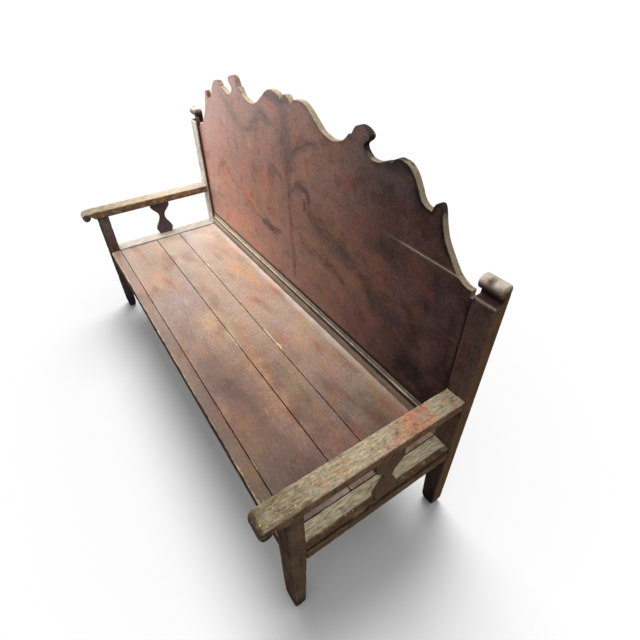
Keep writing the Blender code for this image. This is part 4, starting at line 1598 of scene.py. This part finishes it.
@dataclass
class Seat:
    """The seat: front and rear rails, three long boards, and the bearers and cleats under them.

    Attributes:
        darks: darker and lighter zones of the top, as x and y.
        reds: zones where the coat is redder or, below nought, greyer, as x and y.
        blues: zones where it is bluer or, below nought, yellower, as x and y.
        ochres: warm zones of the top, as x and y.
        chips: places where the paint has gone, as x and y.
        pale_sheen: places under a pale film that paints the sheen of the light, with some dust, as x and y.
        fade: painted light, the paint lighter by this for each metre towards the lit left end.
        swell: how much of the gaps the boards fill, at their left ends and along their edges.
        setback: how far the front board's front edge lies back from the front rail.
    """

    fade: float = 0.33
    swell: tuple[float, float] = (0.004, 0.0003)
    setback: float = 0.0015
    # Painted sheen, with some dust: a pale film over the left half of the seat
    pale_sheen: tuple[Patch, ...] = (
        Patch((-0.92, 0.22), (0.2, 0.14), 0.6), Patch((-0.55, 0.08), (0.3, 0.14), 0.22),
        Patch((-0.3, -0.16), (0.1, 0.08), 0.15),
    )
    darks: tuple[Patch, ...] = (
        Patch((0.62, -0.22), (0.13, 0.05), 0.1), Patch((-0.95, -0.2), (0.45, 0.18), -0.2),
        Patch((-0.6, 0.0), (0.4, 0.2), -0.1), Patch((-0.35, -0.21), (0.14, 0.05), -0.12),
        Patch((-0.11, -0.2), (0.12, 0.05), -0.14), Patch((0.28, -0.18), (0.16, 0.07), -0.16),
        Patch((0.62, -0.22), (0.28, 0.12), -0.14), Patch((0.75, 0.22), (0.14, 0.06), -0.12),
        Patch((0.1, 0.12), (0.4, 0.14), 0.1), Patch((0.12, 0.24), (0.25, 0.06), 0.1),
        Patch((-0.71, -0.01), (0.1, 0.04), 0.16), Patch((-0.02, -0.03), (0.1, 0.03), 0.15),
        Patch((-0.31, -0.15), (0.13, 0.08), -0.12), Patch((-0.8, -0.13), (0.22, 0.06), -0.12),
        Patch((0.37, 0.01), (0.1, 0.09), -0.12), Patch((0.66, 0.12), (0.1, 0.09), -0.08),
        Patch((0.59, -0.14), (0.1, 0.03), -0.08),
    )
    reds: tuple[Patch, ...] = (
        Patch((0.6, -0.22), (0.15, 0.05), 0.8), Patch((0.5, -0.15), (0.34, 0.12), 1.1),
        Patch((0.8, 0.02), (0.16, 0.11), 1.0), Patch((0.35, 0.16), (0.14, 0.08), 0.5),
        Patch((0.1, 0.07), (0.14, 0.03), 0.4), Patch((-0.18, 0.25), (0.16, 0.05), 0.5),
        Patch((-0.67, 0.28), (0.14, 0.03), 0.6), Patch((-0.73, 0.02), (0.12, 0.07), -0.7),
        Patch((-0.39, 0.0), (0.14, 0.03), -0.45), Patch((-0.06, -0.04), (0.12, 0.05), -0.45),
        Patch((-0.9, 0.15), (0.14, 0.09), -0.4), Patch((0.68, 0.18), (0.07, 0.06), -0.6),
    )
    blues: tuple[Patch, ...] = (
        Patch((0.64, -0.22), (0.14, 0.05), -0.7), Patch((-0.65, 0.06), (0.12, 0.05), 0.5),
        Patch((-0.88, 0.16), (0.16, 0.06), 0.4), Patch((-0.29, -0.15), (0.22, 0.1), 0.4),
        Patch((0.33, -0.03), (0.09, 0.03), 0.4), Patch((0.64, 0.16), (0.1, 0.06), 0.35),
        Patch((-0.65, 0.28), (0.18, 0.03), -0.5), Patch((-0.75, -0.08), (0.2, 0.04), -0.5),
        Patch((0.18, -0.08), (0.14, 0.11), -0.5), Patch((0.55, -0.1), (0.14, 0.06), -0.5),
        Patch((0.6, -0.23), (0.12, 0.04), -0.8), Patch((0.5, 0.03), (0.14, 0.05), -0.4),
        Patch((0.99, 0.0), (0.04, 0.5), -1.0),
    )
    ochres: tuple[Patch, ...] = (
        Patch((-0.6, -0.15), (0.14, 0.06), 0.45), Patch((-0.06, -0.08), (0.1, 0.05), 0.5),
        Patch((0.28, -0.02), (0.1, 0.05), 0.35), Patch((0.5, -0.05), (0.14, 0.06), 0.4),
        Patch((-0.82, 0.25), (0.2, 0.06), 0.45), Patch((-0.3, 0.26), (0.22, 0.05), 0.4),
        Patch((0.25, 0.2), (0.14, 0.05), 0.4), Patch((0.42, -0.24), (0.2, 0.02), 0.3),
    )
    chips: tuple[Patch, ...] = (
        Patch((0.16, 0.108), (0.05, 0.01), 0.75), Patch((0.26, 0.114), (0.025, 0.016), 0.85),
        Patch((-0.53, 0.112), (0.05, 0.009), 0.75), Patch((-0.07, 0.098), (0.03, 0.006), 0.6),
        Patch((-0.62, -0.05), (0.02, 0.01), 0.6), Patch((0.1, -0.04), (0.08, 0.007), 0.55),
    )

    def top_traits(self, shell: Shell, top: np.ndarray, seed: int) -> dict[str, np.ndarray]:
        """Wear of the sitting surface.

        Args:
            shell: a board's or rail's surface.
            top: one on the top face, nought below.
            seed: picks the board's own scuffs.

        Returns:
            Values for each point.
        """
        across, up = shell.points[:, 0], shell.points[:, 1]
        scuffed = value_noise(shell.points * np.array([0.35, 1.0, 1.0]), 0.025, seed)
        slow = value_noise(shell.points * np.array([0.5, 1.0, 1.0]), 0.11, seed + 3)
        arris = fall(shell.inset, 0.004) * (shell.facing > 0.05)
        chips = lay_patches(across, up, self.chips) * fall(shell.inset, 0.025)
        bare = np.clip(arris * 0.6 * (0.2 + scuffed) + chips, 0, 1) * top
        bare = np.maximum(bare, 0.85 * (shell.facing < -FLAT))
        # Painted shade: darker off the top face, on the edges and underside
        tone = lay_patches(across, up, self.darks) + 0.2 * (slow - 0.5) - 0.35 * (1 - top)
        # Painted light: lighter towards the lit left end and towards the rear
        tone = tone - self.fade * across + 0.35 * up
        warm = lay_patches(across, up, self.ochres) * top
        rear = smooth_step(up + 0.012 * (scuffed - 0.5), 0.298, 0.33) * smooth_step(-across, -1.0, -0.1)
        end = smooth_step(np.abs(across), 0.94, 0.975)
        # Painted sheen and dust over the left half of the seat
        pale_sheen = lay_patches(across, up, self.pale_sheen)
        dust_and_sheen = np.clip(0.85 * rear + 0.35 * end * scuffed + pale_sheen, 0, 1) * top
        cast = lay_casts(across, up, self.reds, self.blues)
        return {"bare": bare, "tone": tone, "warm": warm, "dust_and_sheen": dust_and_sheen, "cast": cast}

    def build_boards(self, finish: WornPaint) -> None:
        """Make the three boards, each a little cupped between its edges.

        Args:
            finish: paint of the boards.
        """
        for seed, word in enumerate(("front", "middle", "rear")):
            node = f"seat_board_{word}"
            low, high = box_of(node)
            setback = self.setback if word == "front" else -self.swell[1]
            near = (low[0] - self.swell[0], low[1] + setback)
            outline = rectangle(near, (high[0], high[1] + self.swell[1]), 0.006)
            slab = Slab(outline, high[2] - low[2], radius=0.001, grid=0.009, rear_grid=0.04, band=0.006)
            shell = slab.placed(Lie.PLAN, (0.0, 0.0, (low[2] + high[2]) / 2))
            share = (shell.points[:, 1] - low[1]) / (high[1] - low[1])
            top = smooth_step(shell.points[:, 2], high[2] - 0.003, high[2] - 0.0005)
            traits = self.top_traits(shell, top, 101 + 10 * seed)
            shell.points[:, 2] -= 0.0012 * (1 - (2 * share - 1) ** 2) * top
            piece = Piece(f"seat_plank_{word}", (node,), "seat_paint", depth=0.0014, seed=100 + seed)
            make_piece(piece, shell, traits, finish)

    def build_rails(self, seat: WornPaint, frame: WornPaint) -> None:
        """Make the front rail, worn along its top, and the plain rear rail.

        Args:
            seat: finish of the front rail.
            frame: finish of the rear rail.
        """
        low, high = box_of("seat_rail_front")
        outline = rectangle((low[0], low[1]), (high[0], high[1]), 0.006)
        slab = Slab(outline, high[2] - low[2], radius=0.003, grid=0.008, rear_grid=0.03, band=0.006)
        shell = slab.placed(Lie.PLAN, (0.0, 0.0, (low[2] + high[2]) / 2))
        top = smooth_step(shell.points[:, 2], high[2] - 0.006, high[2] - 0.001)
        traits = self.top_traits(shell, top, 131)
        lip = fall(shell.points[:, 1] - low[1], 0.01) * top
        scuffed = value_noise(shell.points * np.array([0.3, 1.0, 1.0]), 0.02, 133)
        traits["bare"] = np.clip(traits["bare"] + 0.35 * lip * (0.3 + scuffed), 0, 1)
        near = smooth_step(shell.points[:, 0], 0.0, 1.0)
        traits["tone"] = traits["tone"] - 0.05 - 0.06 * (shell.points[:, 0] + 1) + 0.2 * near
        traits["cast"] = traits["cast"] + near[:, None] * np.array([0.0, 0.06, -0.1])
        piece = Piece("front_rail", ("seat_rail_front",), "seat_paint", depth=0.0012, seed=131)
        make_piece(piece, shell, traits, seat)
        low, high = box_of("seat_rail_rear")
        outline = rectangle((low[0], low[2]), (high[0], high[2]), 0.008)
        slab = Slab(outline, high[1] - low[1], radius=0.002, grid=0.02, rear_grid=0.02, band=0.01)
        shell = slab.placed(Lie.FRONT, (0.0, (low[1] + high[1]) / 2, 0.0))
        scuffed = value_noise(shell.points, 0.05, 141)
        # Painted light: lighter towards the left end; the pale film along the top is dust and painted light
        left = smooth_step(-shell.points[:, 0], -0.4, 0.9)
        upper = smooth_step(shell.points[:, 2], high[2] - 0.03, high[2])
        dust_and_sheen = upper * (shell.facing > -FLAT) * (0.25 + 0.35 * left)
        traits = {"bare": 0.35 * scuffed, "tone": 0.2 * left, "dust_and_sheen": dust_and_sheen}
        piece = Piece("rear_rail", ("seat_rail_rear",), "frame_paint", depth=0.0015, seed=141)
        make_piece(piece, shell, traits, frame)

    def dress_hidden(self, nodes: dict[str, Object], finish: WornPaint) -> None:
        """Give the bearers and cleats, whose solids stay, their wood.

        Args:
            nodes: the solids by name.
            finish: the wood's finish.
        """
        material = finish.material()
        for name in sorted(nodes):
            if name.startswith(("seat_bearer", "seat_cleat")):
                nodes[name].data.materials.clear()
                nodes[name].data.materials.append(material)
                LOG.info("%s: solid kept, %s", name, finish.name)


@dataclass
class Nails:
    """Forged nails whose heads show.

    Attributes:
        heads: place, direction in which the head faces and its radius.
        rows: rings of points on a head.
        sides: points in a ring.
        crown: height of a head for a radius of one.
        sunk: how deep a head sits in the wood.
    """

    rows: int = 4
    sides: int = 14
    crown: float = 0.38
    sunk: float = 0.0006
    heads: tuple[tuple[tuple[float, float, float], tuple[float, float, float], float], ...] = (
        ((-1.012, 0.333, 0.85), (0.0, -1.0, 0.0), 0.004),
        ((-1.014, 0.333, 0.745), (0.0, -1.0, 0.0), 0.004),
        ((-1.018, -0.311, 0.43), (0.0, -1.0, 0.0), 0.0045),
        ((1.05, -0.03, 0.385), (1.0, 0.0, 0.0), 0.004),
    )

    def build(self, finish: ForgedIron) -> None:
        """Make all heads as one mesh.

        A head is a profile turned about its axis: the radius follows the cosine and the height the
        sine of a quarter turn, and hammering makes the radius waver with the angle.

        Args:
            finish: the nails' iron.
        """
        count = self.rows * self.sides
        rise = np.linspace(0.0, math.pi / 2, self.rows + 1)[:, None]
        turn = np.linspace(0.0, 2 * math.pi, self.sides, endpoint=False)[None, :]
        waver = 1 + 0.08 * np.sin(3 * turn) + 0.05 * np.cos(5 * turn)
        across = np.cos(rise) * np.cos(turn) * waver
        along = np.cos(rise) * np.sin(turn) * waver
        height = self.crown * np.sin(rise) * np.ones_like(turn)
        cap = np.stack([across, along, height], axis=-1).reshape(-1, 3)
        number = np.arange(count).reshape(self.rows, self.sides)
        after = np.roll(number, -1, axis=1)
        ring = np.stack([number[:-1], after[:-1], after[1:], number[1:]], axis=-1).reshape(-1, 4)
        tip = np.stack([number[-1], after[-1], np.full(self.sides, count)], axis=-1)
        cap = np.vstack([cap[:count], [[0.0, 0.0, self.crown]]])
        points = []
        faces = []
        for at, facing, radius in self.heads:
            axis = np.array(facing)
            first = np.cross(axis, (0.0, 0.0, 1.0))
            turned = np.stack([first, np.cross(axis, first), axis])
            start = len(cap) * len(points)
            faces += (ring + start).tolist() + (tip + start).tolist()
            points.append(cap * radius @ turned + np.array(at) - self.sunk * axis)
        mesh = bpy.data.meshes.new("nail_heads")
        mesh.from_pydata(np.vstack(points).tolist(), [], faces)
        mesh.shade_smooth()
        mesh.materials.append(finish.material())
        item = bpy.data.objects.new("nail_heads", mesh)
        bpy.context.scene.collection.objects.link(item)
        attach(item, BODY)
        LOG.info("nail_heads: %d heads", len(self.heads))


@dataclass
class Studio:
    """Pale floor, soft light and the camera at the photograph's angle.

    Attributes:
        azimuth: camera's turn round the bench in degrees.
        elevation: camera's height over the horizon in degrees.
        roll: camera's tilt in degrees.
        place: camera's place.
        lens: focal length in millimetres on a 36 mm sensor.
        floor_half: half the floor's side.
        horizon: strength of the surroundings at the horizon.
        zenith: what the surroundings gain towards the zenith.
        ground: strength of the surroundings below the horizon, which the floor hides from view.
        floor_power: strength of the lamp that lights the floor alone.
        floor_spread: width of that lamp in degrees.
        floor_from: direction from which it shines.
        spared: collection that keeps the panels' light off the floor.
    """

    azimuth: float = 56.123
    elevation: float = 40.076
    roll: float = -0.407
    place: tuple[float, float, float] = (1.4991, -0.505, 1.7011)
    lens: float = 24.014
    floor_half: float = 45.0
    horizon: float = 0.55
    zenith: float = 1.1
    ground: float = 0.1
    floor_power: float = 4.1
    floor_spread: float = 38.0
    floor_from: tuple[float, float, float] = (-0.45, 0.32, 1.0)
    spared: Collection | None = None

    def build_camera(self) -> None:
        """Make the camera and give it to the scene."""
        turn, height, tilt = (math.radians(v) for v in (self.azimuth, self.elevation, self.roll))
        flat = math.cos(height)
        back = Vector((math.sin(turn) * flat, -math.cos(turn) * flat, math.sin(height)))
        level = Vector((math.cos(turn), math.sin(turn), 0.0))
        upright = back.cross(level)
        right = level * math.cos(tilt) + upright * math.sin(tilt)
        up = upright * math.cos(tilt) - level * math.sin(tilt)
        data = bpy.data.cameras.new("camera")
        data.sensor_width = 36.0
        data.lens = self.lens
        data.clip_end = 200.0
        camera = bpy.data.objects.new("camera", data)
        turned = Matrix((right, up, back)).transposed().to_4x4()
        camera.matrix_world = Matrix.Translation(self.place) @ turned
        bpy.context.scene.collection.objects.link(camera)
        bpy.context.scene.camera = camera

    def build_floor(self) -> None:
        """Make the floor: a grid of flat squares in pale matt paper."""
        count = 9
        side = np.linspace(-self.floor_half, self.floor_half, count)
        across, along = np.meshgrid(side, side, indexing="ij")
        points = np.stack([across, along, np.zeros_like(across)], axis=-1).reshape(-1, 3)
        number = np.arange(count * count).reshape(count, count)
        quads = np.stack([number[:-1, :-1], number[1:, :-1], number[1:, 1:], number[:-1, 1:]], axis=-1)
        mesh = bpy.data.meshes.new("floor")
        mesh.from_pydata(points.tolist(), [], quads.reshape(-1, 4).tolist())
        material = bpy.data.materials.new("matt_pale_paper")
        material.use_nodes = True
        shader = material.node_tree.nodes["Principled BSDF"]
        shader.inputs["Base Color"].default_value = linear("#bcbcbc")
        shader.inputs["Roughness"].default_value = 0.9
        shader.inputs["Specular IOR Level"].default_value = 0.0
        mesh.materials.append(material)
        floor = bpy.data.objects.new("floor", mesh)
        # The floor throws no light up at the bench and has no image in its gloss, so undersides stay dark
        floor.visible_diffuse = False
        floor.visible_glossy = False
        bpy.context.scene.collection.objects.link(floor)
        self.build_floor_lamp(floor)
        spared = bpy.data.collections.new("all_but_floor")
        spared.objects.link(floor)
        spared.collection_objects[0].light_linking.link_state = "EXCLUDE"
        self.spared = spared

    def build_floor_lamp(self, floor: Object) -> None:
        """Light the floor alone, from above the far left, so that it is white round a soft shadow.

        Args:
            floor: the only object that takes this light.
        """
        only = bpy.data.collections.new("floor_only")
        only.objects.link(floor)
        data = bpy.data.lights.new("floor_lamp", "SUN")
        data.energy = self.floor_power
        data.angle = math.radians(self.floor_spread)
        lamp = bpy.data.objects.new("floor_lamp", data)
        lamp.matrix_world = Vector(self.floor_from).to_track_quat("Z", "Y").to_matrix().to_4x4()
        lamp.light_linking.receiver_collection = only
        bpy.context.scene.collection.objects.link(lamp)

    def add_panel(
        self,
        name: str,
        place: tuple[float, float, float],
        aim: tuple[float, float, float],
        size: tuple[float, float],
        power: float,
        colour: str,
    ) -> None:
        """Add a soft light panel.

        Args:
            name: its name.
            place: where it hangs.
            aim: the point that it faces.
            size: its two sides.
            power: watts.
            colour: its colour.
        """
        data = bpy.data.lights.new(name, "AREA")
        data.shape = "RECTANGLE"
        data.size, data.size_y = size
        data.energy = power
        data.color = linear(colour)[:3]
        lamp = bpy.data.objects.new(name, data)
        away = Vector(place) - Vector(aim)
        lamp.matrix_world = Matrix.Translation(place) @ away.to_track_quat("Z", "Y").to_matrix().to_4x4()
        lamp.visible_camera = False
        lamp.light_linking.receiver_collection = self.spared
        bpy.context.scene.collection.objects.link(lamp)

    def build_light(self) -> None:
        """White surroundings brightest overhead, a soft box over the left half and a panel beyond that end.

        The surroundings' strength is the horizon's plus the zenith's gain times the squared sine of
        the height.
        """
        world = bpy.data.worlds.new("white_surroundings")
        world.use_nodes = True
        tree = world.node_tree
        tree.nodes.clear()
        toward = add(tree, "TexCoord", out="Generated")
        height = add(tree, "SeparateXYZ", {0: toward}, out="Z")
        over = add(tree, "Math", {0: height, 1: 0.0}, operation="MAXIMUM")
        square = add(tree, "Math", {0: over, 1: over}, operation="MULTIPLY")
        sky = add(tree, "Math", {0: square, 1: self.zenith, 2: self.horizon}, **SUMMED)
        split = add(tree, "MapRange", {"Value": height, "From Min": -0.03, "From Max": 0.0})
        level = add(tree, "Mix", {0: split, 2: self.ground, 3: sky}, data_type="FLOAT")
        shader = add(tree, "Background", {"Strength": level})
        add(tree, "OutputWorld", {"Surface": shader})
        bpy.context.scene.world = world
        self.add_panel("soft_box", (-0.8, -0.1, 2.3), (-0.8, -0.05, 0.4), (1.5, 0.8), 30.0, "#fffaf4")
        self.add_panel("left_panel", (-2.7, -0.7, 1.2), (0.0, 0.1, 0.6), (2.0, 1.9), 52.0, "#ffffff")
        bpy.context.scene.view_settings.view_transform = "Standard"

    def build(self) -> None:
        """Make camera, floor and light."""
        self.build_camera()
        self.build_floor()
        self.build_light()


# Oil paint grained to look like mahogany, under old varnish: cloudy red-brown with a satin skin
BACK_PAINT = WornPaint(
    "grained_oil_paint_back", "#251b1c", "#c09487", "#b97e52", roughness=0.42,
    brush="#252225", wood_dark="#86755b", wood_light="#b6a584", chip="#a08d74", speck_level=0.77,
    scratch_level=0.77, scratch_turn=Grain.DEEP, fibre_mm=(5.0, 400.0), cloud_mm=90.0, specular=0.12,
    streak=0.05, clouding=0.36, grit=0.52, stretch=1.3,
    tints=(
        Tint("#877b78", 70.0, 0.46, 0.6),
        Tint("#7f7c74", 60.0, 0.48, 0.7),
        Tint("#868071", 120.0, 0.48, 0.7),
        Tint("#625d5c", 45.0, 0.52, 0.6),
        Tint("#8a827a", 24.0, 0.54, 0.5),
        Tint("#8c7976", 110.0, 0.47, 0.55),
        Tint("#777a74", 90.0, 0.5, 0.55),
    ),
)
# Red-brown oil paint sat on for years: pinkish where thin, with ochre ground and fine scratches
SEAT_PAINT = WornPaint(
    "rubbed_oil_paint_seat", "#412a20", "#c8ae9b", "#c29468", roughness=0.42, scratch_level=0.75,
    brush="#6e4030", speck_level=0.72, wood_dark="#a48f6e", wood_light="#d6c8a6", chip="#d8c8a8",
    dust_sheen_colour="#d8d0ca", cloud_mm=70.0, specular=0.32, clouding=0.36, grit=0.44, grit_run=3.0,
    tints=(
        Tint("#867e69", 80.0, 0.49, 0.85),
        Tint("#7b7987", 85.0, 0.5, 0.75),
        Tint("#8c7870", 65.0, 0.51, 0.7),
        Tint("#635c57", 60.0, 0.52, 0.65),
    ),
)
# Paint rubbed off by hands: tan and grey softwood polished by use, with red-brown left in the pores
ARM_WOOD = WornPaint(
    "hand_rubbed_softwood_arm", "#46392a", "#ba8c75", "#b98259", grain=Grain.DEEP, roughness=0.5,
    wood_dark="#6f634b", wood_light="#b6a78a", chip="#d2c6a4", dust_sheen_colour="#d6cec2", speck_level=0.67,
    cloud_mm=30.0, flake_mm=10.0, fibre_mm=(4.0, 30.0), streak=0.07, specular=0.24, grit=0.36,
    grit_run=3.0, stretch=1.7,
    stains=(
        Tint("#a06a4f", 30.0, 0.53, 0.5),
        Tint("#959080", 26.0, 0.5, 0.6),
        Tint("#a88b55", 34.0, 0.53, 0.45),
        Tint("#4f4230", 16.0, 0.54, 0.65),
    ),
)
# The far arm's wood: the same rubbed softwood, with no red left on it
FAR_ARM_WOOD = replace(
    ARM_WOOD, name="hand_rubbed_softwood_far_arm", dark="#463d30", light="#a8957c",
    stains=ARM_WOOD.stains[1:],
)
# The back's paint where it runs on to the posts: dark, browner on the outer faces
POST_PAINT = WornPaint(
    "dark_oil_paint_post", "#211717", "#775a49", "#7d6140", grain=Grain.UP, roughness=0.55,
    speck_level=0.77, cloud_mm=45.0, specular=0.1, clouding=0.5, dust_sheen_colour="#e2dacd", grit=0.4, grit_run=3.0,
    tints=(
        Tint("#8b7a6c", 40.0, 0.5, 0.9),
        Tint("#787a86", 35.0, 0.5, 0.9),
        Tint("#5e5a58", 30.0, 0.54, 0.6),
    ),
)
# Thin dark-brown oil paint on the frame: matt with rubbed corners
FRAME_PAINT = WornPaint(
    "dark_oil_paint_frame", "#3e3128", "#9a7f66", "#8d6e4a", grain=Grain.UP, roughness=0.58,
    speck_level=0.76, cloud_mm=45.0, specular=0.08, clouding=0.5, grit=0.42, grit_run=3.0,
    tints=(
        Tint("#8f7864", 40.0, 0.5, 0.9),
        Tint("#5e5a58", 34.0, 0.52, 0.7),
    ),
)
# The frame's paint along the rear rail, with the wood's fibres running with the rail
REAR_RAIL_PAINT = replace(FRAME_PAINT, name="dark_oil_paint_rear_rail", grain=Grain.LONG)
# The same thin paint on the splats, darker where fewer hands reach
SPLAT_PAINT = WornPaint(
    "dark_oil_paint_splat", "#483a2e", "#8a725c", "#7d6549", grain=Grain.UP, roughness=0.58,
    speck_level=0.78, cloud_mm=40.0, specular=0.08, clouding=0.6, grit=0.28,
    tints=(Tint("#8f7864", 34.0, 0.5, 0.9),),
)
# Softwood rail: grey and dry where the paint never was, dark paint round it
RAIL_WOOD = WornPaint(
    "dry_softwood_rail", "#38291c", "#80644a", "#876a47", grain=Grain.DEEP, roughness=0.6,
    wood_dark="#6c624d", wood_light="#b8ad92", speck_level=0.7, cloud_mm=30.0, specular=0.08, grit=0.3,
    dust_sheen_colour="#e6dfd7", fibre_mm=(3.5, 40.0), streak=0.08, stretch=2.0, grit_run=3.0,
    tints=(Tint("#8f7864", 34.0, 0.5, 0.9),),
    stains=(
        Tint("#8d8a74", 26.0, 0.5, 0.55),
        Tint("#4a3d2c", 18.0, 0.53, 0.6),
    ),
)
# Oil paint on the moulding, rubbed to pale wood along its ridges, with painted shade in its quirk and
# hollow
MOULDING_PAINT = WornPaint(
    "rubbed_oil_paint_moulding", "#261d16", "#8a7459", "#83704f", roughness=0.48,
    wood_dark="#857458", wood_light="#d2c6a9", speck_level=0.78, cloud_mm=35.0, flake_mm=9.0, specular=0.2,
    dust_sheen_colour="#ded5c8",
)
# Sawn softwood that was never painted: brown with age, dull
AGED_SOFTWOOD = WornPaint(
    "aged_sawn_softwood", "#6b573f", "#927b5c", "#8c7450", roughness=0.72, speck_level=1.0, streak=0.24,
    specular=0.2,
)


def main() -> None:
    """Build the looks of the bench in order and report each piece."""
    logging.basicConfig(level=logging.INFO, format="%(name)s %(message)s")
    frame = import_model()
    Studio().build()
    back = Back()
    back.build_boards(BACK_PAINT)
    back.build_moulding(MOULDING_PAINT)
    for side in Side:
        arm = ARM_WOOD if side is Side.RIGHT else FAR_ARM_WOOD
        EndFrame(side).build(POST_PAINT, FRAME_PAINT, arm, SPLAT_PAINT, RAIL_WOOD)
    seat = Seat()
    seat.build_boards(SEAT_PAINT)
    seat.build_rails(SEAT_PAINT, REAR_RAIL_PAINT)
    seat.dress_hidden(frame["nodes"], AGED_SOFTWOOD)
    Nails().build(ForgedIron())
    bpy.context.view_layer.update()


if __name__ == "__main__":
    main()
